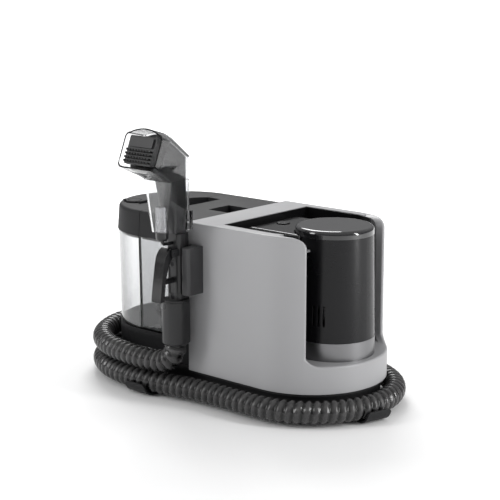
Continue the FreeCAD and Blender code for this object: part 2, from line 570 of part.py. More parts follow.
def make_pump():
    body_x = PUMP_X + 16
    body = rounded_block(body_x + 15, PUMP_Y, TRAY_FLOOR, TRAY_FLOOR + 38, 15, 16, 3)
    body = body.cut(cylinder(body_x - 1, PUMP_Y, PUMP_Z, 10, 21, ALONG_X))
    save("pump_head", body)
    motor = pipe(PUMP_X - 34, PUMP_Y, PUMP_Z, PUMP_MOTOR_RADIUS, 11, 50, ALONG_X)
    motor = motor.fuse(pipe(PUMP_X - 34, PUMP_Y, PUMP_Z, 11, 2 + SHAFT_FIT, 4, ALONG_X))
    motor = motor.fuse(pipe(PUMP_X + 12, PUMP_Y, PUMP_Z, 11, 2 + SHAFT_FIT, 4, ALONG_X))
    motor = motor.cut(cylinder(PUMP_X - 36, PUMP_Y, PUMP_Z, 2 + SHAFT_FIT, 60, ALONG_X))
    motor = motor.fuse(cylinder(PUMP_X - 36, PUMP_Y, PUMP_Z, 6, 2, ALONG_X))
    save("pump_motor", motor)
    shaft = cylinder(PUMP_X - 33, PUMP_Y, PUMP_Z, 2, 66, ALONG_X)
    armature = cylinder(PUMP_X - 28, PUMP_Y, PUMP_Z, 9, 38, ALONG_X)
    cam = cylinder(PUMP_X + 22, PUMP_Y + 2, PUMP_Z, 7, 9, ALONG_X)
    save("pump_eccentric", shaft.fuse(armature).fuse(cam))


def make_electrics():
    x0 = BODY_START_X + SHELL_WALL
    board_x = x0 + 8
    board = block(board_x, board_x + 1.6, -60, 60, 100, 190)
    for y, z in BOARD_POSTS:
        board = board.cut(cylinder(board_x - 1, y, z, 1.7, 4, ALONG_X))
    save("circuit_board", board)
    face = board_x + 1.6
    bits = [cylinder(face, -30, 125, 9, 22, ALONG_X), cylinder(face, -5, 125, 7, 18, ALONG_X),
            block(face, face + 15, 15, 40, 115, 138), block(face, face + 12, -45, -15, 155, 178),
            block(face, face + 9, 5, 45, 160, 172)]
    save("board_components", Part.makeCompound(bits))
    y = BODY_RADIUS
    gland = cylinder(GLAND_X, y, GLAND_Z, 11, 3, ALONG_Y).fuse(
        cylinder(GLAND_X, y - 6, GLAND_Z, 7.8, 7, ALONG_Y)).fuse(
        Part.makeCone(8, 6, 12, V(GLAND_X, y + 3, GLAND_Z), ALONG_Y))
    save("mains_inlet_gland", gland.cut(cylinder(GLAND_X, y - 10, GLAND_Z, 3.6, 30, ALONG_Y)))


# ---------------------------------------------------------------- tanks
POCKET_RADIUS = (POCKET_HALF ** 2 + POCKET_DEPTH_X ** 2) / (2 * POCKET_DEPTH_X)
POCKET_CENTRE_X = TANK_SPLIT_X - POCKET_DEPTH_X + POCKET_RADIUS
TANK_BOTTOM = DECK_TOP + TANK_STAND
CLEAN_FLAT_X = TANK_SPLIT_X - TANK_GAP / 2
DIRTY_LEFT_X = TANK_SPLIT_X + TANK_GAP / 2
DIRTY_RIGHT_X = BODY_START_X - TANK_GAP


def make_clean_tank():
    outer = stadium(CLEAN_FLAT_X, TANK_END_X, TANK_RADIUS_LOW, TANK_BOTTOM, TANK_TOP, TANK_RADIUS_HIGH)
    hollow = stadium(CLEAN_FLAT_X - TANK_WALL, TANK_END_X, TANK_RADIUS_LOW - TANK_WALL,
                     TANK_BOTTOM + TANK_WALL, TANK_TOP, TANK_RADIUS_HIGH - TANK_WALL)
    tank = outer.cut(hollow)
    tank = tank.cut(cylinder(VALVE_X, 0, TANK_BOTTOM - 1, VALVE_RADIUS - 3, 10))
    save("clean_tank", tank)
    valve = cylinder(VALVE_X, 0, TANK_BOTTOM - 9, VALVE_RADIUS, 9)
    valve = valve.fuse(cylinder(VALVE_X, 0, TANK_BOTTOM, VALVE_RADIUS - 3, 10))
    valve = valve.cut(cylinder(VALVE_X, 0, TANK_BOTTOM - 9, 4.5, 30))
    save("tank_valve_body", valve)
    poppet = cylinder(VALVE_X, 0, TANK_BOTTOM - 7, 2.0, 20).fuse(
        cylinder(VALVE_X, 0, TANK_BOTTOM + 10.4, 6.5, 2.6))
    save("tank_valve_poppet", poppet)

    low, top = TANK_TOP, BODY_TOP
    outer = stadium(CLEAN_FLAT_X, TANK_END_X, LID_RADIUS_LOW, low, top, LID_RADIUS_HIGH)
    outer = round_edges(outer, LID_ROUNDING, lambda box: flat_at(top)(box) and box.YLength > 150
                        and box.XLength > 50)
    hollow = stadium(CLEAN_FLAT_X - LID_WALL, TANK_END_X, LID_RADIUS_LOW - LID_WALL,
                     low, top - LID_WALL, LID_RADIUS_HIGH - LID_WALL)
    over = top - low + 10
    pocket_wall = cylinder(POCKET_CENTRE_X, 0, POCKET_FLOOR - LID_WALL, POCKET_RADIUS + LID_WALL, over)
    lid = outer.cut(hollow.cut(pocket_wall))
    lid = lid.cut(cylinder(POCKET_CENTRE_X, 0, POCKET_FLOOR, POCKET_RADIUS, over))
    lid = lid.cut(cylinder(FILL_X, FILL_Y, low, FILL_RADIUS - 1.5, over))
    lid = lid.cut(cylinder(FILL_X, FILL_Y, top - 1.2, FILL_RADIUS + 3, 10))
    for y0 in (FILL_Y - 9, FILL_Y + 6.5):
        lid = lid.fuse(block(FILL_HINGE_X - 2, FILL_HINGE_X + 2, y0, y0 + 2.5, top - 0.5, top + 4))
    lid = lid.fuse(cylinder(FILL_HINGE_X, FILL_Y - 9, top + 2.2, FILL_PIN_RADIUS, 18, ALONG_Y))
    save("clean_lid", lid)
    save("clean_lid_seal", seal_ring(CLEAN_FLAT_X, TANK_END_X))


def seal_ring(x_flat, x_arc):
    """Rubber strip inside the mouth of a tank, under its lid's rim."""
    side = 1 if x_arc > x_flat else -1
    inset = TANK_WALL + 0.4
    outer = stadium(x_flat + side * inset, x_arc, TANK_RADIUS_HIGH - inset - 0.6, TANK_TOP - 4, TANK_TOP)
    inner = stadium(x_flat + side * (inset + 3), x_arc, TANK_RADIUS_HIGH - inset - 3.6, TANK_TOP - 4,
                    TANK_TOP)
    return outer.cut(inner)


FILL_X, FILL_Y, FILL_RADIUS = -196.0, -50.0, 14.0
FILL_HINGE_X = FILL_X + FILL_RADIUS + 5
FILL_PIN_RADIUS = 1.0


def make_fill_cap():
    top = BODY_TOP
    flap = cylinder(FILL_X, FILL_Y, top - 1.0, FILL_RADIUS, 3.6)
    flap = flap.fuse(block(FILL_X, FILL_HINGE_X, FILL_Y - 6, FILL_Y + 6, top + 0.6, top + 2.6))
    tab = block(FILL_X - FILL_RADIUS - 7, FILL_X, FILL_Y - 6, FILL_Y + 6, top + 0.6, top + 2.6)
    plug = pipe(FILL_X, FILL_Y, top - 5, FILL_RADIUS - 2.6, FILL_RADIUS - 5, 5)
    knuckle = cylinder(FILL_HINGE_X, FILL_Y - 6, top + 2.2, 1.9, 12, ALONG_Y)
    cap = flap.fuse(tab).fuse(plug).fuse(knuckle)
    cap = cap.cut(pipe(FILL_X, FILL_Y, top + 1.6, FILL_RADIUS - 2.5, FILL_RADIUS - 4, 3))
    cap = cap.cut(cylinder(FILL_HINGE_X, FILL_Y - 20, top + 2.2, FILL_PIN_RADIUS + SHAFT_FIT, 40, ALONG_Y))
    save("fill_cap", cap)


FLOAT_X, FLOAT_Y = -62.0, -40.0
RELEASE_PIN_RADIUS = 1.2


def make_dirty_tank():
    def body(low_half, high_half, inset, z0, z1):
        x0, x1 = DIRTY_LEFT_X + inset, DIRTY_RIGHT_X - inset
        wires = [polygon([(x0, -h, z), (x1, -h, z), (x1, h, z), (x0, h, z)])
                 for h, z in ((low_half - inset, z0), (high_half - inset, z1))]
        return loft(wires)

    def upright(box):
        return box.ZLength > 30

    tank = body(TANK_RADIUS_LOW, TANK_RADIUS_HIGH, 0, TANK_BOTTOM, TANK_TOP)
    tank = tank.cut(body(TANK_RADIUS_LOW, TANK_RADIUS_HIGH, TANK_WALL, TANK_BOTTOM + TANK_WALL, TANK_TOP))
    tank = tank.cut(cylinder(RISER_X, RISER_Y, TANK_BOTTOM - 1, RISER_RADIUS, 10))
    save("dirty_tank", tank)
    riser = pipe(RISER_X, RISER_Y, TANK_BOTTOM, RISER_RADIUS, RISER_RADIUS - 2, 130)
    elbow = block(RISER_X - 30, RISER_X, RISER_Y - 20, RISER_Y + 20, TANK_BOTTOM + 118, TANK_BOTTOM + 132)
    elbow = elbow.cut(block(RISER_X - 31, RISER_X - 2, RISER_Y - 17, RISER_Y + 17, TANK_BOTTOM + 117,
                            TANK_BOTTOM + 129))
    elbow = elbow.cut(cylinder(RISER_X, RISER_Y, TANK_BOTTOM, RISER_RADIUS, 128))
    save("riser_tube", riser.cut(elbow).fuse(elbow))

    low, top = TANK_TOP, BODY_TOP
    lid = body(LID_RADIUS_LOW, LID_RADIUS_HIGH, 0, low + LID_GAP, top)
    lid = round_edges(lid, LID_ROUNDING, lambda box: flat_at(top)(box) and box.XLength > 50)
    hollow = body(LID_RADIUS_LOW, LID_RADIUS_HIGH, LID_WALL, low, top - LID_WALL)
    bar_end = BAR_START_X + BAR_WIDTH
    release_x = DIRTY_RIGHT_X - RELEASE_LENGTH
    pocket_wall = block(DIRTY_LEFT_X, bar_end, -POCKET_HALF - 3, POCKET_HALF + 3, POCKET_FLOOR - 3, top)
    release_wall = block(release_x - 3, DIRTY_RIGHT_X, -RELEASE_HALF - 3, RELEASE_HALF + 3,
                         RELEASE_FLOOR - 3, top)
    lid = lid.cut(hollow.cut(pocket_wall).cut(release_wall))
    open_pocket = block(DIRTY_LEFT_X - 1, BAR_START_X, -POCKET_HALF, POCKET_HALF, POCKET_FLOOR, top + 1)
    under_bar = block(BAR_START_X - 1, bar_end - 3, -POCKET_HALF, POCKET_HALF, POCKET_FLOOR,
                      top - BAR_THICKNESS)
    lid = lid.cut(open_pocket).cut(under_bar)
    lid = lid.cut(block(release_x, DIRTY_RIGHT_X + 1, -RELEASE_HALF, RELEASE_HALF, RELEASE_FLOOR, top + 1))
    lid = lid.cut(cylinder(DIRTY_RIGHT_X - 10, DUCT_Y, DUCT_INLET_Z, DUCT_RADIUS - 2, 12, ALONG_X))
    lever_x, lever_z = release_x + 6, RELEASE_FLOOR + 8.5
    lid = lid.fuse(cylinder(lever_x, -RELEASE_HALF - 1, lever_z, RELEASE_PIN_RADIUS,
                            2 * RELEASE_HALF + 2, ALONG_Y))
    save("dirty_lid", lid)
    x0, x1, h = DIRTY_LEFT_X + TANK_WALL + 0.6, DIRTY_RIGHT_X - TANK_WALL - 0.6, TANK_RADIUS_HIGH - 4.2
    strip = block(x0, x1, -h, h, low - 4, low + LID_GAP)
    strip = strip.cut(block(x0 + 3, x1 - 3, -h + 3, h - 3, low - 5, low + 1))
    save("dirty_lid_seal", strip)

    cage = pipe(FLOAT_X, FLOAT_Y, low - 45, 19, 17, 45 + LID_GAP)
    for turn in (0, 60, 120):
        gap = block(FLOAT_X - 25, FLOAT_X + 25, FLOAT_Y - 4, FLOAT_Y + 4, low - 38, low - 12)
        gap.rotate(V(FLOAT_X, FLOAT_Y, 0), UP, turn)
        cage = cage.cut(gap)
    cage = cage.fuse(pipe(FLOAT_X, FLOAT_Y, low - 45, 19, 6, 2))
    rim_bar = block(FLOAT_X - 60, FLOAT_X + 40, FLOAT_Y - 3, FLOAT_Y + 3, low - 2.5, low + LID_GAP)
    rim_bar = rim_bar.common(block(x0 + 3.2, x1 - 3.2, -90, 90, 0, 400))
    rim_bar = rim_bar.cut(cylinder(FLOAT_X, FLOAT_Y, 0, 18, 400))
    save("float_cage", cage.fuse(rim_bar))
    save("float_ball", Part.makeSphere(15, V(FLOAT_X, FLOAT_Y, low - 45 + 2 + 15.2)))

    reach = RELEASE_HALF - 4
    lever = block(lever_x, DIRTY_RIGHT_X - 4, -reach, reach, lever_z - 1.5, lever_z + 1.5)
    lever = lever.fuse(cylinder(lever_x, -reach, lever_z, 3.0, 2 * reach, ALONG_Y))
    bore = cylinder(lever_x, -40, lever_z, RELEASE_PIN_RADIUS + SHAFT_FIT, 80, ALONG_Y)
    save("lid_release", lever.cut(bore))


# ---------------------------------------------------------------- upholstery tool
def handle_solid(shrink, top):
    low = BARREL_BOTTOM + shrink
    barrel = rounded_block(TOOL_X, TOOL_Y, low, COLLAR_Z - shrink, BARREL_HALF_X - shrink,
                           BARREL_HALF_Y - shrink, BARREL_HALF_X - shrink - 1.5)
    if not shrink:
        barrel = barrel.makeChamfer(3.0, [edge for edge in barrel.Edges if flat_at(low)(edge.BoundBox)])
        barrel = barrel.fuse(rounded_block(TOOL_X, TOOL_Y, COLLAR_Z, COLLAR_Z + 2.5, BARREL_HALF_X - 1,
                                           BARREL_HALF_Y - 1, BARREL_HALF_X - 2.5))
    y0, y1 = GRIP_FRONT + shrink, GRIP_BACK - shrink
    grip = rounded_block(TOOL_X, (y0 + y1) / 2, COLLAR_Z - shrink - 1, top, GRIP_HALF_X - shrink,
                         (y1 - y0) / 2, 6 - shrink)
    return barrel.fuse(grip)


HANDLE_SCREW_Z = (166.0, 216.0)
HOSE_START_Z = 106.0


def make_handle():
    solid = handle_solid(0, GRIP_TOP).cut(handle_solid(HANDLE_WALL, GRIP_TOP - 4))
    solid = solid.fuse(pipe(TOOL_X, TOOL_Y, HOSE_START_Z, BARREL_HALF_X - 1, HOSE_RADIUS - 4, 3))
    solid = solid.cut(cylinder(TOOL_X, TOOL_Y, BARREL_BOTTOM - 1, SOCKET_RADIUS, 12))
    depth = GRIP_BACK - GRIP_FRONT
    for z in HANDLE_SCREW_Z:
        solid = solid.fuse(cylinder(TOOL_X, GRIP_FRONT + 0.5, z, 4.5, depth - 1, ALONG_Y))
        solid = solid.cut(cylinder(TOOL_X, GRIP_FRONT - 1, z, SCREW_HEAD_RADIUS + 0.3, 4, ALONG_Y))
        solid = solid.cut(cylinder(TOOL_X, GRIP_FRONT - 1, z, SCREW_RADIUS + 0.02, depth - 3, ALONG_Y))
    solid = solid.cut(block(TOOL_X - 3, TOOL_X + 3, GRIP_FRONT - 2, HANDLE_SPLIT_Y - 6,
                            VALVE_Z - 4, VALVE_Z + 4))
    recess = block(TOOL_X - 7, TOOL_X + 3, GRIP_FRONT - 2, GRIP_FRONT + 1.2, COLLAR_Z + 6, TRIGGER_PIN_Z - 6)
    for z in HANDLE_SCREW_Z:
        recess = recess.cut(block(TOOL_X - 8, TOOL_X + 8, GRIP_FRONT - 3, GRIP_FRONT + 3, z - 4.6, z + 4.6))
    solid = solid.cut(recess)
    front = solid.common(block(TOOL_X - 60, TOOL_X + 60, -220, HANDLE_SPLIT_Y, 0, 300))
    for side in (-1, 1):
        x0 = TOOL_X + side * (TRIGGER_HALF + 1.6) - 1.1
        ear = block(x0, x0 + 2.2, TRIGGER_PIN_Y - 3.5, GRIP_FRONT + 4, TRIGGER_PIN_Z - 5, TRIGGER_PIN_Z + 5)
        front = front.fuse(ear.cut(cylinder(x0 - 2, TRIGGER_PIN_Y, TRIGGER_PIN_Z, TRIGGER_PIN_RADIUS,
                                            8, ALONG_X)))
    save("handle_front_shell", front)
    save("handle_rear_shell", solid.common(block(TOOL_X - 60, TOOL_X + 60, HANDLE_SPLIT_Y, -60, 0, 300)))
    length = 2 * (TRIGGER_HALF + 2.7)
    save("trigger_pin", cylinder(TOOL_X - length / 2, TRIGGER_PIN_Y, TRIGGER_PIN_Z, TRIGGER_PIN_RADIUS,
                                 length, ALONG_X))
    save("handle_screws", Part.makeCompound(
        [screw(TOOL_X, GRIP_FRONT + 3, z, GRIP_BACK - GRIP_FRONT - 8, ALONG_Y) for z in HANDLE_SCREW_Z]))


def make_trigger():
    """Curved lever, thick at its pin and swept out towards the free end."""
    front = [V(0, -160, 243), V(0, -169.5, 237), V(0, -177.5, 214), V(0, -181.5, 190), V(0, -185, 164)]
    back = [V(0, -176.5, 165), V(0, -173.5, 190), V(0, -168, 212), V(0, -156.5, 230)]
    curve_front, curve_back = Part.BSplineCurve(), Part.BSplineCurve()
    curve_front.interpolate(front)
    curve_back.interpolate(back)
    edges = [curve_front.toShape(), Part.makeLine(front[-1], back[0]), curve_back.toShape(),
             Part.makeLine(back[-1], front[0])]
    face = Part.Face(Part.Wire(edges))
    face.translate(V(TOOL_X - TRIGGER_HALF, 0, 0))
    lever = face.extrude(V(2 * TRIGGER_HALF, 0, 0))
    lever = lever.fuse(cylinder(TOOL_X - TRIGGER_HALF, TRIGGER_PIN_Y, TRIGGER_PIN_Z, 3.8,
                                2 * TRIGGER_HALF, ALONG_X))
    lever = lever.cut(cylinder(TOOL_X - 30, TRIGGER_PIN_Y, TRIGGER_PIN_Z, TRIGGER_PIN_RADIUS + SHAFT_FIT,
                               60, ALONG_X))
    save("trigger", lever)
    head_y = -171.4
    plunger = cylinder(TOOL_X, head_y + 2, VALVE_Z, PLUNGER_RADIUS, 32.1, ALONG_Y).fuse(
        cylinder(TOOL_X, head_y, VALVE_Z, 4.6, 2.4, ALONG_Y))
    save("valve_plunger", plunger)
    valve = rounded_block(TOOL_X, -134.5, VALVE_Z - 16, VALVE_Z + 16, 7, 6.5, 2)
    for z in HANDLE_SCREW_Z:
        valve = valve.cut(cylinder(TOOL_X, -150, z, 5.5, 40, ALONG_Y))
    valve = valve.cut(cylinder(TOOL_X, -142, VALVE_Z, PLUNGER_RADIUS + SHAFT_FIT, 12, ALONG_Y))
    save("spray_valve", valve)
    coil = spring(TOOL_X, 0, 0, 3.9, 0.6, GRIP_FRONT - head_y - 2.4, 6)
    coil.rotate(V(TOOL_X, 0, 0), ALONG_X, -90)
    coil.translate(V(0, head_y + 2.4, VALVE_Z))
    save("trigger_spring", coil)


SPRAY_Y = -170.0
SPRAY_LOW, SPRAY_TOP, SPRAY_RADIUS = 268.0, 305.0, 8.6


def make_spray():
    column = pipe(TOOL_X, SPRAY_Y, SPRAY_LOW, SPRAY_RADIUS, SPRAY_RADIUS - 2.3, SPRAY_TOP - SPRAY_LOW)
    column = column.fuse(cylinder(TOOL_X, SPRAY_Y, SPRAY_LOW, SPRAY_RADIUS - 1, 3))
    save("spray_tube", column.fuse(pipe(TOOL_X, SPRAY_Y, SPRAY_TOP - 3, SPRAY_RADIUS - 1, 3, 3)))
    tip_low = SPRAY_LOW - 12.7
    tip = round_edges(cylinder(TOOL_X, SPRAY_Y, tip_low, SPRAY_RADIUS + 0.7, SPRAY_LOW - tip_low), 4.0,
                      flat_at(tip_low))
    link = [(TOOL_X, SPRAY_Y, tip_low + 4), (TOOL_X, SPRAY_Y, 250), (TOOL_X, -163, 248.2),
            (TOOL_X, GRIP_FRONT, 248.2)]
    save("spray_tube_foot", tip.fuse(tube(link, 2.4)))


def section(bottom, top, half_width, arch, radius, inset=0.0):
    """Tilted rounded rectangle with an arched top; its middle line runs from bottom to top, as (y, z)."""
    low, high = V(TOOL_X, *bottom), V(TOOL_X, *top)
    up = (high - low).normalize()
    centre, half_v, half_u = (low + high) * 0.5, (high - low).Length / 2 - inset, half_width - inset
    k = radius * (1 - math.sqrt(0.5))

    def at(a, b):
        return centre + ALONG_X * a + up * b
    parts = []
    for a, b in ((1, 1), (-1, 1), (-1, -1), (1, -1)):
        ends = [at(a * half_u, b * (half_v - radius)), at(a * (half_u - radius), b * half_v)]
        if a != b:
            ends.reverse()
        parts.append(Part.Arc(ends[0], at(a * (half_u - k), b * (half_v - k)), ends[1]))
        if (a, b) == (1, 1):
            parts.append(Part.Arc(ends[1], at(0, half_v + arch), at(-half_u + radius, half_v)))
        else:
            next_end = {(-1, 1): at(-half_u, -half_v + radius), (-1, -1): at(half_u - radius, -half_v),
                        (1, -1): at(half_u, half_v - radius)}[(a, b)]
            parts.append(Part.LineSegment(ends[1], next_end))
    return Part.Wire([piece.toShape() for piece in parts])


NECK_HALF = GRIP_HALF_X + 0.7
NECK_FRONT, NECK_REAR = (-181.5, SPRAY_LOW), (GRIP_BACK + 0.8, GRIP_TOP + 0.4)
HEAD_SECTIONS = [((-183, 345), (-134, 345), 27, 0.4), ((-196, 352.5), (-137, 380), 29, 3.0),
                 ((-210, 359), (-177, 410), 33, 6.0), ((-222.5, 366.5), (-202, 416), 37.5, 7.0)]
NECK_SECTIONS = [(NECK_FRONT, NECK_REAR, NECK_HALF, 0.4), ((-183, 344.6), (-134, 344.6), 27, 0.4)]
MOUTH_UP = V(0, 20.5, 49.5).normalize()
MOUTH_OUT = V(0, -49.5, 20.5).normalize()
MOUTH_CENTRE = V(TOOL_X, -204.5, 389.5)
BRUSH_HALF, BRUSH_HALF_HEIGHT = 27.0, 21.0


def sections_loft(sections, radius, inset=0.0):
    return loft([section(low, high, half, arch, radius, inset) for low, high, half, arch in sections])


def past_end(sections, first, last):
    """The same sections with the end ones pushed a little outwards, to cut through both ends."""
    (low0, high0, half0, arch0), (low1, high1, half1, arch1) = sections[0], sections[-1]
    shifted = [((low0[0] + first[0], low0[1] + first[1]), (high0[0] + first[0], high0[1] + first[1]),
                half0, arch0)]
    return shifted + sections[1:-1] + [((low1[0] + last[0], low1[1] + last[1]),
                                        (high1[0] + last[0], high1[1] + last[1]), half1, arch1)]


def make_nozzle():
    neck_solid = sections_loft(NECK_SECTIONS, 8)
    neck = neck_solid.cut(sections_loft(past_end(NECK_SECTIONS, (0, -0.4), (0, 0.4)), 6.5, NECK_WALL))
    catch = block(TOOL_X + 12, TOOL_X + 24, -138, -130, 269, 297)
    save("nozzle_neck", neck.fuse(catch.cut(neck_solid)))

    cover = sections_loft(HEAD_SECTIONS, 8)
    cover = cover.cut(sections_loft(past_end(HEAD_SECTIONS, (0, -0.5), (-0.9, 0.4)), 6.5, HEAD_WALL))
    save("nozzle_cover", cover)

    core_inset = HEAD_WALL + 2.2
    core = sections_loft(HEAD_SECTIONS[:3], 8, core_inset).cut(cover)
    duct_sections = [((-154, GRIP_TOP + 1.5), (GRIP_BACK - 2, GRIP_TOP + 1.5), NECK_HALF - 2.8, 0.4),
                     ((-166, 348), (-139, 348), 21, 0.4)]
    duct = sections_loft(duct_sections, 5)
    bore = sections_loft(past_end(duct_sections, (0, -0.5), (0, 0.5)), 3.5, 1.6)
    core = core.fuse(duct).cut(bore)
    passage = block(TOOL_X - 13, TOOL_X + 13, -300, 0, 346, 420).common(
        sections_loft(HEAD_SECTIONS[:3], 6, HEAD_WALL + 8))
    core = core.cut(passage)
    save("head_core", core)

    stem = Part.Face(rounded_wire(MOUTH_CENTRE - MOUTH_OUT * 14, 20, 15, 2.5, ALONG_X, MOUTH_UP)).extrude(
        MOUTH_OUT * 14.5)
    wire = rounded_wire(MOUTH_CENTRE, BRUSH_HALF, BRUSH_HALF_HEIGHT, 2.5, ALONG_X, MOUTH_UP)
    brush = Part.Face(wire).extrude(MOUTH_OUT * 7).fuse(stem)
    lip = Part.Face(rounded_wire(MOUTH_CENTRE + MOUTH_UP * 11.5 + MOUTH_OUT * 6.5, 23, 7.5, 2, ALONG_X,
                                 MOUTH_UP)).extrude(MOUTH_OUT * 3.5)
    save("brush_block", brush.fuse(lip).cut(core).cut(cover))
    tufts = []
    for row in (-17.5, -12.0, -6.5, -1.0):
        for column in range(-4, 5):
            foot = MOUTH_CENTRE + MOUTH_OUT * 7 + MOUTH_UP * row + ALONG_X * (column * 5.6)
            tufts.append(Part.makeCylinder(1.5, 6.0, foot, MOUTH_OUT))
    save("brush_bristles", Part.makeCompound(tufts))


HOLDER_LOW, HOLDER_TOP = 171.0, 242.0


def make_holder():
    y_wall = -BODY_RADIUS
    x0 = TOOL_X - 20
    plate = block(x0, TOOL_X + 31, y_wall - 5, y_wall, HOLDER_LOW, HOLDER_TOP)
    arm = block(TOOL_X + GRIP_HALF_X + 0.6, TOOL_X + 31, GRIP_FRONT + 2, y_wall, HOLDER_LOW, HOLDER_TOP)
    bracket = plate.fuse(arm).removeSplitter()
    front = [edge for edge in bracket.Edges if edge.BoundBox.ZLength > 70
             and abs(edge.BoundBox.YMin - GRIP_FRONT - 2) < 1e-3]
    save("tool_holder", bracket.makeFillet(5.0, front))


# ---------------------------------------------------------------- hose
UPPER = 58.5
LOWER = 22.5
HOSE_ROUTE = [
    (TOOL_X, TOOL_Y, HOSE_START_Z), (TOOL_X, TOOL_Y, 86), (-26, -143.5, 68.8), (-43, -144.5, 59.5),
    (-78, -147.5, UPPER), (-122, -146, UPPER), (-172, -135, UPPER), (-225, -103, UPPER),
    (-258, -50, UPPER), (-268, 8, UPPER), (-252, 65, UPPER), (-208, 111, UPPER),
    (-152, 131, UPPER), (-95, 135, 60), (-40, 137, 63), (14, 136, 61), (65, 133, 47),
    (112, 131, 32), (160, 127, LOWER + 1), (216, 98, LOWER), (251, 42, LOWER), (255, -26, LOWER),
    (223, -88, LOWER), (168, -125, LOWER), (104, -127, LOWER), (44, -126, LOWER),
    (-12, -131, LOWER), (-66, -141, LOWER), (-122, -143.5, LOWER), (-175, -133.5, LOWER),
    (-227, -101, LOWER), (-260, -48, LOWER), (-269, 10, LOWER), (-251, 67, LOWER),
    (-207, 113, LOWER), (-154, 134, LOWER), (-113, PORT_Y, LOWER), (PORT_MOUTH_X, PORT_Y, PORT_Z)]


def make_hose():
    radii = []
    hose = tube(HOSE_ROUTE, HOSE_RADIUS, radii=radii)
    length = bent_path(HOSE_ROUTE).Length
    ideal = math.pi * HOSE_RADIUS ** 2 * length
    print("hose length %.0f mm, volume %.0f of %.0f mm3" % (length, hose.Volume, ideal))
    print("hose bend radii:", " ".join("%.0f" % radius for radius in radii))
    save("hose", hose)


def make_port():
    mouth = pipe(PORT_MOUTH_X, PORT_Y, PORT_Z, PORT_RADIUS, PORT_RADIUS - 4, PORT_X - PORT_MOUTH_X, ALONG_X)
    leg = pipe(PORT_X, BASE_RADIUS - BASE_WALL, PORT_Z, PORT_RADIUS - 4.5, PORT_RADIUS - 8,
               PORT_Y - BASE_RADIUS + BASE_WALL, ALONG_Y)
    ball = Part.makeSphere(PORT_RADIUS, V(PORT_X, PORT_Y, PORT_Z)).cut(
        Part.makeSphere(PORT_RADIUS - 4, V(PORT_X, PORT_Y, PORT_Z)))
    collar = pipe(PORT_X, BASE_RADIUS, PORT_Z, PORT_RADIUS, PORT_RADIUS - 8, PORT_Y - BASE_RADIUS, ALONG_Y)
    elbow = ball.fuse(mouth).fuse(collar).fuse(leg)
    elbow = elbow.cut(cylinder(PORT_MOUTH_X + 3, PORT_Y, PORT_Z, PORT_RADIUS - 8, PORT_X - PORT_MOUTH_X,
                               ALONG_X))
    save("hose_port", elbow)


make_base()
make_hooks()
make_shell()
make_deck()
make_motor()
make_ducts()
make_pump()
make_electrics()
make_clean_tank()
make_fill_cap()
make_dirty_tank()
make_handle()
make_trigger()
make_spray()
make_nozzle()
make_holder()
make_port()
make_hose()
print(len(made), "nodes")
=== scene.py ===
import json
import math

import bpy
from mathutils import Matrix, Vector


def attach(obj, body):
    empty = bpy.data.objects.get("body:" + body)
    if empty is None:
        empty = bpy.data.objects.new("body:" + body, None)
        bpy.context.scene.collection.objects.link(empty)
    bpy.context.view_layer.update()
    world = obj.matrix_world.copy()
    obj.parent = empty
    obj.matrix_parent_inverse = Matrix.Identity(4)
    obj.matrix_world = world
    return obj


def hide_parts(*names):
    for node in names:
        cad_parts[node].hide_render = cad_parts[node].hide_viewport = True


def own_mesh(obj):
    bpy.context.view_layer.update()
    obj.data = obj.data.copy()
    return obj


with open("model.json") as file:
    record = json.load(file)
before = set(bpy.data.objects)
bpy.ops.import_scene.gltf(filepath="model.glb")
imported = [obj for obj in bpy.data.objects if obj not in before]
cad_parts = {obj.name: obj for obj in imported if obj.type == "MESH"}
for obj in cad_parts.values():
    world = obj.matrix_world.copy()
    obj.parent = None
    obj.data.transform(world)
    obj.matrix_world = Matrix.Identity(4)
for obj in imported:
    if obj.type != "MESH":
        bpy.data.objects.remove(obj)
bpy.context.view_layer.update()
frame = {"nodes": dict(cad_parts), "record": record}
nodes = frame["nodes"]
scene = bpy.context.scene

# The machine stands on the floor at z = 0, its tanks to -X and its hand tool to -Y. Metres.

# ------------------------------------------------------------------ camera
VIEW_FROM = Vector((1.38856, -1.59174, 0.67854))
VIEW_TURN = math.radians(40.99)
VIEW_DROP = math.radians(12.377)
LENS_MM = 100.43
SENSOR_MM = 36.0
FLOOR_HALF = 40.0

camera_data = bpy.data.cameras.new("product_camera")
camera_data.sensor_width = SENSOR_MM
camera_data.lens = LENS_MM
camera_data.clip_end = FLOOR_HALF
camera = bpy.data.objects.new("product_camera", camera_data)
camera.location = VIEW_FROM
camera.rotation_euler = (math.pi / 2 - VIEW_DROP, 0.0, VIEW_TURN)
scene.collection.objects.link(camera)
scene.camera = camera

# ------------------------------------------------------------------ sizes of the looks
HOSE_DIAMETER = 0.034
HOSE_RIB_PITCH = 0.0123
HOSE_RIB_DEPTH = 0.0026
HOSE_RIB_SHARPNESS = 0.7        # below 1 the crests are broad and the valleys narrow
HOSE_RINGS_PER_RIB = 12
HOSE_SIDES = 28
SOFT_EDGE = 0.0009              # radius that catches light on moulded and polished edges
PANEL_STEP = 0.2525             # height where the panel's satin floor gives way to its gloss hump
DUST = (0.55, 0.54, 0.52, 1.0)


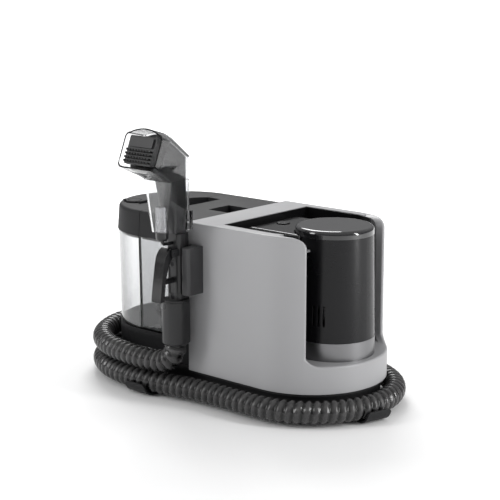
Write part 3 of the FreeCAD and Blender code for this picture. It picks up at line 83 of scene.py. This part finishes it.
# ------------------------------------------------------------------ shader helpers
class Tree:
    """A node tree with short calls to add and join nodes."""

    def __init__(self, tree):
        self.tree = tree

    def add(self, kind, inputs=None, **settings):
        node = self.tree.nodes.new(kind)
        for name, value in settings.items():
            setattr(node, name, value)
        for key, value in (inputs or {}).items():
            if isinstance(value, bpy.types.NodeSocket):
                self.tree.links.new(value, node.inputs[key])
            else:
                node.inputs[key].default_value = value
        return node

    def link(self, source, target):
        self.tree.links.new(source, target)

    def math(self, operation, first, second=0.0, third=None, clamp=False):
        inputs = {0: first, 1: second}
        if third is not None:
            inputs[2] = third
        return self.add("ShaderNodeMath", inputs, operation=operation, use_clamp=clamp).outputs[0]

    def blend(self, factor, first, second, kind="MIX"):
        node = self.add("ShaderNodeMix", data_type="RGBA", blend_type=kind, clamp_factor=True)
        for index, value in ((0, factor), (6, first), (7, second)):
            if isinstance(value, bpy.types.NodeSocket):
                self.tree.links.new(value, node.inputs[index])
            else:
                node.inputs[index].default_value = value
        return node.outputs[2]

    def ramp(self, source, low, high):
        return self.add("ShaderNodeMapRange", {"Value": source, "From Min": low, "From Max": high},
                        clamp=True).outputs["Result"]

    def noise(self, vector, scale, detail=3.0, roughness=0.5):
        return self.add("ShaderNodeTexNoise", {"Vector": vector, "Scale": scale, "Detail": detail,
                                               "Roughness": roughness}).outputs["Fac"]


def effect_group(name, inputs, outputs):
    """An empty shader group with named float, colour or vector sockets."""
    kinds = {"float": "NodeSocketFloat", "colour": "NodeSocketColor", "vector": "NodeSocketVector"}
    group = bpy.data.node_groups.new(name, "ShaderNodeTree")
    for socket, kind, value in inputs:
        made = group.interface.new_socket(socket, in_out="INPUT", socket_type=kinds[kind])
        made.default_value = value
    for socket, kind in outputs:
        group.interface.new_socket(socket, in_out="OUTPUT", socket_type=kinds[kind])
    tree = Tree(group)
    return group, tree, tree.add("NodeGroupInput").outputs, tree.add("NodeGroupOutput").inputs


def make_moulded_grain():
    """Fine spark-eroded texture of a moulded plastic face: a height and a roughness shift."""
    group, tree, given, out = effect_group(
        "moulded_grain", [("Grain Scale", "float", 1400.0), ("Roughness Shift", "float", 0.06)],
        [("Height", "float"), ("Roughness Shift", "float")])
    place = tree.add("ShaderNodeTexCoord").outputs["Object"]
    fine = tree.noise(place, given["Grain Scale"], 4.0, 0.65)
    coarse = tree.noise(place, tree.math("MULTIPLY", given["Grain Scale"], 0.28), 2.0, 0.5)
    height = tree.math("ADD", tree.math("MULTIPLY", fine, 0.65), tree.math("MULTIPLY", coarse, 0.35))
    tree.link(height, out["Height"])
    patches = tree.noise(place, 14.0, 3.0, 0.6)
    shift = tree.math("MULTIPLY", tree.math("SUBTRACT", patches, 0.5), given["Roughness Shift"])
    tree.link(shift, out["Roughness Shift"])
    return group


def make_tone_drift():
    """Slow change of tone over a moulded piece, with faint dust on what faces up."""
    group, tree, given, out = effect_group(
        "tone_drift", [("Colour", "colour", (0.5, 0.5, 0.5, 1.0)), ("Drift", "float", 0.05),
                       ("Dust", "float", 0.04)], [("Colour", "colour")])
    place = tree.add("ShaderNodeTexCoord").outputs["Object"]
    slow = tree.noise(place, 6.0, 4.0, 0.55)
    lift = tree.math("MULTIPLY_ADD", tree.math("SUBTRACT", slow, 0.5), given["Drift"], 1.0)
    toned = tree.add("ShaderNodeVectorMath", {0: given["Colour"]}, operation="SCALE")
    tree.link(lift, toned.inputs["Scale"])
    facing = tree.add("ShaderNodeSeparateXYZ",
                      {0: tree.add("ShaderNodeNewGeometry").outputs["Normal"]}).outputs["Z"]
    speck = tree.ramp(tree.noise(place, 420.0, 5.0, 0.7), 0.5, 0.72)
    film = tree.ramp(tree.noise(place, 22.0, 4.0, 0.6), 0.35, 0.75)
    cover = tree.math("MULTIPLY", tree.math("MAXIMUM", facing, 0.0),
                      tree.math("ADD", tree.math("MULTIPLY", speck, 0.6), tree.math("MULTIPLY", film, 0.4)))
    dusted = tree.blend(tree.math("MULTIPLY", cover, given["Dust"], clamp=True), toned.outputs[0], DUST)
    tree.link(dusted, out["Colour"])
    return group


def make_handling_marks():
    """Hairlines and finger haze of a polished face: a height and a roughness."""
    group, tree, given, out = effect_group(
        "handling_marks",
        [("Roughness", "float", 0.1), ("Haze", "float", 0.08), ("Hairlines", "float", 0.1)],
        [("Roughness", "float"), ("Height", "float")])
    place = tree.add("ShaderNodeTexCoord").outputs["Object"]
    haze = tree.ramp(tree.noise(place, 18.0, 5.0, 0.62), 0.42, 0.78)
    lines = None
    for turn, scale in ((0.4, (60, 1500, 90)), (1.3, (1300, 70, 80))):
        turned = tree.add("ShaderNodeMapping", {"Vector": place, "Rotation": (turn, turn * 0.7, turn),
                                                "Scale": scale}).outputs[0]
        streak = tree.ramp(tree.noise(turned, 1.0, 1.0, 0.4), 0.68, 0.74)
        lines = streak if lines is None else tree.math("MAXIMUM", lines, streak)
    rough = tree.math("ADD", given["Roughness"], tree.math("MULTIPLY", haze, given["Haze"]))
    rough = tree.math("ADD", rough, tree.math("MULTIPLY", lines, given["Hairlines"]))
    tree.link(rough, out["Roughness"])
    tree.link(tree.math("MULTIPLY", lines, -1.0), out["Height"])
    return group


GRAIN = make_moulded_grain()
DRIFT = make_tone_drift()
MARKS = make_handling_marks()


def new_material(name):
    material = bpy.data.materials.new(name)
    material.use_nodes = True
    material.node_tree.nodes.clear()
    tree = Tree(material.node_tree)
    shader = tree.add("ShaderNodeBsdfPrincipled")
    output = tree.add("ShaderNodeOutputMaterial")
    tree.link(shader.outputs[0], output.inputs["Surface"])
    return material, tree, shader


def use_group(tree, group, **values):
    node = tree.add("ShaderNodeGroup")
    node.node_tree = group
    for name, value in values.items():
        socket = node.inputs[name.replace("_", " ")]
        if isinstance(value, bpy.types.NodeSocket):
            tree.link(value, socket)
        else:
            socket.default_value = value
    return node.outputs


def bump(tree, height, strength, distance, soft_edge=0.0):
    node = tree.add("ShaderNodeBump", {"Height": height, "Strength": strength, "Distance": distance})
    if soft_edge:
        rounded = tree.add("ShaderNodeBevel", {"Radius": soft_edge}, samples=4)
        tree.link(rounded.outputs["Normal"], node.inputs["Normal"])
    return node.outputs["Normal"]


def moulded(name, colour, roughness, grain=1400.0, depth=0.00006, strength=0.5, drift=0.06, dust=0.05,
            specular=0.5):
    """Matt or satin moulded plastic with a fine tool texture."""
    material, tree, shader = new_material(name)
    texture = use_group(tree, GRAIN, Grain_Scale=grain, Roughness_Shift=0.16)
    tone = use_group(tree, DRIFT, Colour=(*colour, 1.0), Drift=drift, Dust=dust)
    tree.link(tone["Colour"], shader.inputs["Base Color"])
    rough = tree.math("ADD", texture["Roughness Shift"], roughness, clamp=True)
    tree.link(rough, shader.inputs["Roughness"])
    tree.link(bump(tree, texture["Height"], strength, depth, SOFT_EDGE), shader.inputs["Normal"])
    shader.inputs["Specular IOR Level"].default_value = specular
    return material


def polished(name, colour, roughness=0.08, haze=0.06, coat=0.0, metallic=0.0, drift=0.05, dust=0.03,
             hairlines=0.08):
    """Polished plastic or metal with haze and hairlines."""
    material, tree, shader = new_material(name)
    marks = use_group(tree, MARKS, Roughness=roughness, Haze=haze, Hairlines=hairlines)
    tone = use_group(tree, DRIFT, Colour=(*colour, 1.0), Drift=drift, Dust=dust)
    tree.link(tone["Colour"], shader.inputs["Base Color"])
    tree.link(marks["Roughness"], shader.inputs["Roughness"])
    tree.link(bump(tree, marks["Height"], 0.12, 0.00002, SOFT_EDGE), shader.inputs["Normal"])
    shader.inputs["Metallic"].default_value = metallic
    shader.inputs["Coat Weight"].default_value = coat
    return material


def clear_plastic(name, colour, roughness=0.02, haze=0.03, painted_rim_shade=0.25, painted_rim_start=0.45):
    """Injection-moulded clear plastic, darker where the wall is seen at a grazing angle: painted shade
    standing in for the dark rims that refraction gives.
    """
    material, tree, shader = new_material(name)
    marks = use_group(tree, MARKS, Roughness=roughness, Haze=haze, Hairlines=0.05)
    place = tree.add("ShaderNodeTexCoord").outputs["Object"]
    flow = tree.noise(place, 9.0, 2.0, 0.5)
    body = tree.blend(tree.math("MULTIPLY", flow, 0.25), (*colour, 1.0), (*[c * 0.9 for c in colour], 1.0))
    # painted shade: the colour darkens towards the rims where the wall turns away from the view, in place
    # of refracted dark surroundings
    slant = tree.add("ShaderNodeLayerWeight", {"Blend": 0.5}).outputs["Facing"]
    tint = tree.blend(tree.ramp(slant, painted_rim_start, 0.97), body, (*[c * painted_rim_shade for c in colour], 1.0))
    tree.link(tint, shader.inputs["Base Color"])
    tree.link(marks["Roughness"], shader.inputs["Roughness"])
    tree.link(bump(tree, flow, 0.15, 0.0008), shader.inputs["Normal"])
    shader.inputs["Transmission Weight"].default_value = 1.0
    shader.inputs["IOR"].default_value = 1.46
    return material


def ribbed_hose(name):
    """Flexible ribbed hose: smoky skin with painted shade, near black, in the rib valleys, and painted
    sheen in paler patches on the crests.
    """
    material, tree, shader = new_material(name)
    place = tree.add("ShaderNodeTexCoord").outputs["Object"]
    crest = tree.add("ShaderNodeAttribute", attribute_name="rib_crest").outputs["Fac"]
    cloud = tree.noise(place, 60.0, 4.0, 0.6)
    # painted shade: near black in the rib valleys, the hose's smoky dark grey on the crests
    skin_with_painted_light = tree.blend(tree.ramp(crest, 0.15, 0.9), (0.001, 0.001, 0.0011, 1.0), (0.040, 0.039, 0.040, 1.0))
    # painted sheen: paler cloudy patches laid only on the rib crests
    haze = tree.math("MULTIPLY", tree.ramp(cloud, 0.5, 0.8), crest)
    skin_with_painted_light = tree.blend(haze, skin_with_painted_light, (0.09, 0.088, 0.086, 1.0))
    tone = use_group(tree, DRIFT, Colour=skin_with_painted_light, Drift=0.25, Dust=0.05)
    tree.link(tone["Colour"], shader.inputs["Base Color"])
    rough = tree.math("MULTIPLY_ADD", tree.noise(place, 130.0, 3.0, 0.6), 0.22, 0.10)
    tree.link(rough, shader.inputs["Roughness"])
    fine = tree.noise(place, 700.0, 3.0, 0.6)
    relief = tree.math("ADD", cloud, tree.math("MULTIPLY", fine, 0.2))
    tree.link(bump(tree, relief, 0.35, 0.0012), shader.inputs["Normal"])
    return material


def rubber(name, colour):
    return moulded(name, colour, 0.72, grain=900.0, depth=0.00012, strength=0.7, drift=0.12, dust=0.10,
                   specular=0.3)


def turned_steel(name, colour, roughness=0.28):
    """Metal with fine turning or drawing lines."""
    material, tree, shader = new_material(name)
    place = tree.add("ShaderNodeTexCoord").outputs["Object"]
    lines = tree.noise(tree.add("ShaderNodeMapping", {"Vector": place, "Scale": (1, 1, 40)}).outputs[0],
                       60.0, 3.0, 0.6)
    tone = use_group(tree, DRIFT, Colour=(*colour, 1.0), Drift=0.12, Dust=0.02)
    tree.link(tone["Colour"], shader.inputs["Base Color"])
    tree.link(tree.math("MULTIPLY_ADD", lines, 0.18, roughness - 0.09), shader.inputs["Roughness"])
    tree.link(bump(tree, lines, 0.2, 0.00005), shader.inputs["Normal"])
    shader.inputs["Metallic"].default_value = 1.0
    return material


def stepped(name, low_colour, high_colour, level):
    """Satin floor that gives way to polished black above a level."""
    material, tree, shader = new_material(name)
    place = tree.add("ShaderNodeTexCoord").outputs["Object"]
    height = tree.add("ShaderNodeSeparateXYZ", {0: place}).outputs["Z"]
    upper = tree.ramp(height, level - 0.0004, level + 0.0004)
    texture = use_group(tree, GRAIN, Grain_Scale=1300.0, Roughness_Shift=0.12)
    marks = use_group(tree, MARKS, Roughness=0.12, Haze=0.05, Hairlines=0.06)
    colour = tree.blend(upper, (*low_colour, 1.0), (*high_colour, 1.0))
    tone = use_group(tree, DRIFT, Colour=colour, Drift=0.06, Dust=0.02)
    tree.link(tone["Colour"], shader.inputs["Base Color"])
    satin = tree.math("ADD", texture["Roughness Shift"], 0.42, clamp=True)
    rough = tree.add("ShaderNodeMix", data_type="FLOAT")
    for index, value in ((0, upper), (2, satin), (3, marks["Roughness"])):
        tree.link(value, rough.inputs[index])
    tree.link(rough.outputs[0], shader.inputs["Roughness"])
    tree.link(bump(tree, texture["Height"], 0.4, 0.00003, SOFT_EDGE), shader.inputs["Normal"])
    return material


def circuit_green(name):
    material, tree, shader = new_material(name)
    place = tree.add("ShaderNodeTexCoord").outputs["Object"]
    tracks = tree.add("ShaderNodeTexBrick", {"Vector": place, "Scale": 60.0, "Mortar Size": 0.03,
                                             "Color1": (0.02, 0.13, 0.05, 1),
                                             "Color2": (0.03, 0.18, 0.07, 1),
                                             "Mortar": (0.25, 0.30, 0.10, 1)})
    tree.link(tracks.outputs["Color"], shader.inputs["Base Color"])
    tree.link(tree.math("MULTIPLY_ADD", tree.noise(place, 80.0), 0.2, 0.3), shader.inputs["Roughness"])
    tree.link(bump(tree, tracks.outputs["Fac"], 0.4, 0.0001), shader.inputs["Normal"])
    return material


BODY_GREY = moulded("body_grey", (0.33, 0.33, 0.338), 0.40, grain=1500.0, depth=0.00004, dust=0.01)
LID_CHARCOAL = moulded("lid_charcoal", (0.012, 0.012, 0.013), 0.60, grain=1200.0, depth=0.00005,
                       dust=0.02, specular=0.25)
BASE_CHARCOAL = moulded("base_charcoal", (0.010, 0.010, 0.011), 0.5, grain=1000.0, depth=0.00008,
                        dust=0.02, specular=0.3)
PANEL_TWO_TONE = stepped("panel_two_tone", (0.16, 0.16, 0.165), (0.006, 0.006, 0.0065), PANEL_STEP)
# painted shade: the bay liner's grey is darkened to near black for the shade inside the bay
LINER_PAINTED_SHADE = moulded("liner_painted_shade", (0.030, 0.030, 0.032), 0.4, grain=1300.0, specular=0.35)
HANDLE_GREY = moulded("handle_grey", (0.020, 0.020, 0.021), 0.30, grain=1500.0, depth=0.00004,
                      specular=0.35)
HANDLE_BLACK = moulded("handle_black", (0.006, 0.006, 0.0065), 0.34, grain=1500.0)
GLOSS_BLACK = polished("gloss_black", (0.004, 0.004, 0.0045), 0.16, haze=0.04, coat=0.0)
WRAP_BLACK = moulded("wrap_black", (0.004, 0.004, 0.005), 0.27, grain=1600.0, depth=0.00002,
                     specular=0.28)
CAP_BLACK = polished("cap_black", (0.010, 0.010, 0.011), 0.09, haze=0.05, coat=0.6)
TRIM_GREY = turned_steel("trim_grey", (0.22, 0.22, 0.225), 0.34)
# painted shade: both clear parts get dark painted rims where their walls are seen at a grazing angle
TANK_CLEAR = clear_plastic("tank_clear", (0.80, 0.805, 0.81), painted_rim_shade=0.10, painted_rim_start=0.40)
TOOL_CLEAR = clear_plastic("tool_clear", (0.88, 0.885, 0.89), painted_rim_shade=0.12, painted_rim_start=0.35)
HOSE_SKIN = ribbed_hose("hose_skin")
SOFT_RUBBER = rubber("soft_rubber", (0.018, 0.018, 0.018))
PLATED = polished("plated_tube", (0.30, 0.30, 0.31), 0.24, metallic=1.0)
STEEL = turned_steel("zinc_steel", (0.55, 0.55, 0.54))
GROUND_STEEL = turned_steel("ground_steel", (0.45, 0.45, 0.46), 0.22)
DARK_STEEL = turned_steel("blackened_steel", (0.035, 0.035, 0.037), 0.4)
INNER_GREY = moulded("inner_grey", (0.16, 0.16, 0.165), 0.5)
CORE_DARK = moulded("core_dark", (0.020, 0.020, 0.021), 0.30, grain=1500.0)
FLOAT_PALE = moulded("float_pale", (0.6, 0.6, 0.58), 0.4)
SOFT_TUBE = moulded("soft_tube", (0.5, 0.5, 0.48), 0.25)
BOARD_GREEN = circuit_green("board_green")
CHIP_BLACK = moulded("chip_black", (0.02, 0.02, 0.022), 0.5)
BRUSH_DARK = moulded("brush_dark", (0.018, 0.018, 0.019), 0.4)
BRISTLE = moulded("bristle_nylon", (0.006, 0.006, 0.006), 0.3)
HOLDER_GREY = moulded("holder_grey", (0.050, 0.050, 0.052), 0.40, grain=1500.0, depth=0.00004,
                      specular=0.35)

FINISHES = {
    "shell_grey": BODY_GREY, "dark_plastic": LID_CHARCOAL, "handle_grey": HANDLE_GREY,
    "handle_black": HANDLE_BLACK, "gloss_black": GLOSS_BLACK, "cap_black": CAP_BLACK,
    "trim_metal": TRIM_GREY,
    "clear_plastic": TANK_CLEAR, "hose_rubber": HOSE_SKIN, "soft_rubber": SOFT_RUBBER, "steel": STEEL,
    "machined_steel": GROUND_STEEL, "chrome_tube": PLATED, "inner_plastic": INNER_GREY,
    "float_white": FLOAT_PALE, "tube_clear": SOFT_TUBE, "board_green": BOARD_GREEN,
    "component_black": CHIP_BLACK, "bristle": BRISTLE,
}
OWN_FINISH = {
    "base_tray": BASE_CHARCOAL, "hose_hooks": BASE_CHARCOAL, "control_deck": PANEL_TWO_TONE,
    "bay_liner": LINER_PAINTED_SHADE, "motor_wrap": WRAP_BLACK, "nozzle_neck": TOOL_CLEAR,
    "nozzle_cover": TOOL_CLEAR,
    "power_button": GLOSS_BLACK, "tool_holder": HOLDER_GREY, "head_core": CORE_DARK,
    "spray_tube_foot": GLOSS_BLACK, "brush_block": BRUSH_DARK, "handle_screws": DARK_STEEL,
    "trigger_spring": DARK_STEEL, "valve_plunger": DARK_STEEL, "trigger_pin": DARK_STEEL,
}


def finish_cad_nodes():
    for entry in frame["record"]["subparts"]:
        part = nodes[entry["node"]]
        material = OWN_FINISH.get(entry["node"], FINISHES[entry["material_slot"]])
        part.data.materials.clear()
        part.data.materials.append(material)


finish_cad_nodes()

# ------------------------------------------------------------------ hose
TOOL_X, TOOL_Y = -0.017, -0.143
UPPER, LOWER = 0.0585, 0.0225
PORT = (-0.075, 0.139, 0.0225)
HOSE_START = (TOOL_X, TOOL_Y, 0.106)
HOSE_ROUTE = [
    HOSE_START, (TOOL_X, TOOL_Y, 0.086), (-0.026, -0.1435, 0.0688), (-0.043, -0.1445, 0.0595),
    (-0.078, -0.1475, UPPER), (-0.122, -0.146, UPPER), (-0.172, -0.135, UPPER), (-0.225, -0.103, UPPER),
    (-0.258, -0.050, UPPER), (-0.268, 0.008, UPPER), (-0.252, 0.065, UPPER), (-0.208, 0.111, UPPER),
    (-0.152, 0.131, UPPER), (-0.095, 0.135, 0.060), (-0.040, 0.137, 0.063), (0.014, 0.136, 0.061),
    (0.065, 0.133, 0.047), (0.112, 0.131, 0.032), (0.160, 0.127, LOWER + 0.001), (0.216, 0.098, LOWER),
    (0.251, 0.042, LOWER), (0.255, -0.026, LOWER), (0.223, -0.088, LOWER), (0.168, -0.125, LOWER),
    (0.104, -0.127, LOWER), (0.044, -0.126, LOWER), (-0.012, -0.131, LOWER), (-0.066, -0.141, LOWER),
    (-0.122, -0.1435, LOWER), (-0.175, -0.1335, LOWER), (-0.227, -0.101, LOWER), (-0.260, -0.048, LOWER),
    (-0.269, 0.010, LOWER), (-0.251, 0.067, LOWER), (-0.207, 0.113, LOWER), (-0.154, 0.134, LOWER),
    (-0.113, 0.139, LOWER), PORT]


def route_line(points):
    """Points along the smooth line of a route, closely spaced."""
    curve = bpy.data.curves.new("route", "CURVE")
    curve.dimensions = "3D"
    curve.resolution_u = 12
    spline = curve.splines.new("NURBS")
    spline.points.add(len(points) - 1)
    for point, place in zip(spline.points, points):
        point.co = (*place, 1.0)
    spline.order_u = 3
    spline.use_endpoint_u = True
    holder = bpy.data.objects.new("route", curve)
    scene.collection.objects.link(holder)
    line = bpy.data.meshes.new_from_object(holder)
    found = [vertex.co.copy() for vertex in line.vertices]
    bpy.data.objects.remove(holder)
    return found


def geometry_group(name, inputs):
    group = bpy.data.node_groups.new(name, "GeometryNodeTree")
    kinds = {"float": "NodeSocketFloat", "int": "NodeSocketInt", "material": "NodeSocketMaterial"}
    group.interface.new_socket("Geometry", in_out="INPUT", socket_type="NodeSocketGeometry")
    for socket, kind, value in inputs:
        made = group.interface.new_socket(socket, in_out="INPUT", socket_type=kinds[kind])
        if value is not None:
            made.default_value = value
    group.interface.new_socket("Geometry", in_out="OUTPUT", socket_type="NodeSocketGeometry")
    tree = Tree(group)
    return group, tree, tree.add("NodeGroupInput").outputs, tree.add("NodeGroupOutput").inputs["Geometry"]


def grow(source, group, values, name):
    """Run a geometry tree on an object and return its result as a plain mesh object."""
    modifier = source.modifiers.new("grow", "NODES")
    modifier.node_group = group
    for item in group.interface.items_tree:
        if item.item_type == "SOCKET" and item.in_out == "INPUT" and item.name in values:
            modifier[item.identifier] = values[item.name]
    graph = bpy.context.evaluated_depsgraph_get()
    graph.update()
    mesh = bpy.data.meshes.new_from_object(source.evaluated_get(graph), depsgraph=graph)
    mesh.name = name
    source.modifiers.remove(modifier)
    bpy.data.objects.remove(source)
    made = bpy.data.objects.new(name, mesh)
    scene.collection.objects.link(made)
    return made


def make_ribbed_hose():
    """Geometry tree: a line becomes a tube whose wall rises and falls in a helix."""
    group, tree, given, out = geometry_group("ribbed_tube", [
        ("Radius", "float", HOSE_DIAMETER / 2), ("Rib Pitch", "float", HOSE_RIB_PITCH),
        ("Rib Depth", "float", HOSE_RIB_DEPTH), ("Rib Sharpness", "float", HOSE_RIB_SHARPNESS),
        ("Rings", "int", 1000), ("Sides", "int", HOSE_SIDES), ("Skin", "material", None)])
    line = tree.add("GeometryNodeMeshToCurve", {0: given["Geometry"]}).outputs[0]
    even = tree.add("GeometryNodeResampleCurve", {"Curve": line, "Count": given["Rings"]}).outputs[0]
    along = tree.add("GeometryNodeSplineParameter").outputs["Length"]
    kept = tree.add("GeometryNodeCaptureAttribute", domain="POINT")
    kept.capture_items.new("FLOAT", "Along")
    tree.link(even, kept.inputs[0])
    tree.link(along, kept.inputs[1])
    ring = tree.add("GeometryNodeCurvePrimitiveCircle", {"Resolution": given["Sides"],
                                                         "Radius": given["Radius"]}).outputs[0]
    around = tree.add("GeometryNodeSplineParameter").outputs["Factor"]
    turned = tree.add("GeometryNodeCaptureAttribute", domain="POINT")
    turned.capture_items.new("FLOAT", "Around")
    tree.link(ring, turned.inputs[0])
    tree.link(around, turned.inputs[1])
    tube = tree.add("GeometryNodeCurveToMesh", {
        "Curve": kept.outputs[0], "Profile Curve": turned.outputs[0], "Fill Caps": True}).outputs[0]
    turns = tree.math("ADD", tree.math("DIVIDE", kept.outputs[1], given["Rib Pitch"]), turned.outputs[1])
    wave = tree.math("COSINE", tree.math("MULTIPLY", turns, 2 * math.pi))
    crest = tree.math("POWER", tree.math("MULTIPLY_ADD", wave, 0.5, 0.5), given["Rib Sharpness"])
    sink = tree.math("MULTIPLY", tree.math("SUBTRACT", crest, 1.0), given["Rib Depth"])
    normal = tree.add("GeometryNodeInputNormal").outputs[0]
    shift = tree.add("ShaderNodeVectorMath", {0: normal}, operation="SCALE")
    tree.link(sink, shift.inputs["Scale"])
    moved = tree.add("GeometryNodeSetPosition", {"Geometry": tube, "Offset": shift.outputs[0]}).outputs[0]
    named = tree.add("GeometryNodeStoreNamedAttribute", {"Geometry": moved, "Name": "rib_crest"},
                     data_type="FLOAT", domain="POINT")
    tree.link(crest, named.inputs["Value"])
    smooth = tree.add("GeometryNodeSetShadeSmooth", {"Geometry": named.outputs[0], "Shade Smooth": True})
    real = tree.add("GeometryNodeRealizeInstances", {0: smooth.outputs[0]}).outputs[0]
    skinned = tree.add("GeometryNodeSetMaterial", {"Geometry": real, "Material": given["Skin"]})
    tree.link(skinned.outputs[0], out)
    return group


def build_hose():
    line = route_line(HOSE_ROUTE)
    length = sum((b - a).length for a, b in zip(line, line[1:]))
    mesh = bpy.data.meshes.new("hose_line")
    mesh.from_pydata(line, [(i, i + 1) for i in range(len(line) - 1)], [])
    source = bpy.data.objects.new("hose_line", mesh)
    scene.collection.objects.link(source)
    rings = int(length / HOSE_RIB_PITCH * HOSE_RINGS_PER_RIB)
    hose = grow(source, make_ribbed_hose(), {
        "Radius": HOSE_DIAMETER / 2, "Rib Pitch": HOSE_RIB_PITCH, "Rib Depth": HOSE_RIB_DEPTH,
        "Rib Sharpness": HOSE_RIB_SHARPNESS, "Rings": rings, "Sides": HOSE_SIDES, "Skin": HOSE_SKIN},
        "ribbed_hose")
    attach(hose, "machine")
    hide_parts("hose")


build_hose()

# ------------------------------------------------------------------ trigger spring
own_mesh(nodes["trigger_spring"])

# ------------------------------------------------------------------ floor, world and lights
FLOOR_GLOW = 0.8                 # lifts the far paper to white
FLOOR_GLOW_REACH = (0.6, 2.4)    # where the glow starts and where it is full
HORIZON, CEILING = (0.15, 0.15, 0.155, 1.0), (0.66, 0.66, 0.66, 1.0)
LAMPS = [                        # name, place, aim, size, watts
    ("left_bank", (-1.25, -2.2, 1.2), (0, 0, 0.15), (0.7, 1.5), 25),
    ("right_strip", (1.9, 0.45, 0.75), (0.15, 0, 0.2), (0.18, 1.5), 24),
    ("top_bank", (-1.0, 0.9, 1.7), (0, 0, 0.1), (1.0, 1.0), 27)]


def build_stage():
    material, tree, shader = new_material("studio_paper")
    place = tree.add("ShaderNodeTexCoord").outputs["Object"]
    tint = tree.blend(tree.noise(place, 3.0), (0.93, 0.93, 0.93, 1.0), (0.95, 0.95, 0.95, 1.0))
    tree.link(tint, shader.inputs["Base Color"])
    shader.inputs["Roughness"].default_value = 0.9
    shader.inputs["Specular IOR Level"].default_value = 0.1
    away = tree.add("ShaderNodeVectorMath", {0: place}, operation="LENGTH").outputs["Value"]
    shader.inputs["Emission Color"].default_value = (1.0, 1.0, 1.0, 1.0)
    glow = tree.math("MULTIPLY", tree.ramp(away, *FLOOR_GLOW_REACH), FLOOR_GLOW)
    tree.link(glow, shader.inputs["Emission Strength"])
    mesh = bpy.data.meshes.new("studio_floor")
    corners = [(-1, -1), (1, -1), (1, 1), (-1, 1)]
    mesh.from_pydata([(x * FLOOR_HALF, y * FLOOR_HALF, 0) for x, y in corners], [], [(0, 1, 2, 3)])
    mesh.materials.append(material)
    floor = bpy.data.objects.new("studio_floor", mesh)
    scene.collection.objects.link(floor)


def area_light(name, place, aim, size, watts):
    data = bpy.data.lights.new(name, "AREA")
    data.shape = "RECTANGLE"
    data.size, data.size_y = size
    data.energy = watts
    lamp = bpy.data.objects.new(name, data)
    lamp.location = place
    lamp.rotation_euler = (Vector(aim) - Vector(place)).to_track_quat("-Z", "Y").to_euler()
    scene.collection.objects.link(lamp)


def build_light():
    """A grey room with a bright ceiling, a key bank at the left and a tall strip at the right."""
    world = bpy.data.worlds.new("studio_world")
    scene.world = world
    world.use_nodes = True
    tree = Tree(world.node_tree)
    towards = tree.add("ShaderNodeTexCoord").outputs["Generated"]
    height = tree.add("ShaderNodeSeparateXYZ", {0: towards}).outputs["Z"]
    shade = tree.ramp(height, 0.02, 0.75)
    room = tree.blend(shade, HORIZON, CEILING)
    seen = tree.add("ShaderNodeLightPath").outputs["Is Camera Ray"]
    colour = tree.blend(seen, room, (1.0, 1.0, 1.0, 1.0))
    background = world.node_tree.nodes["Background"]
    tree.link(colour, background.inputs["Color"])
    background.inputs["Strength"].default_value = 1.0
    for lamp in LAMPS:
        area_light(*lamp)


build_stage()
build_light()
scene.view_settings.view_transform = "Standard"
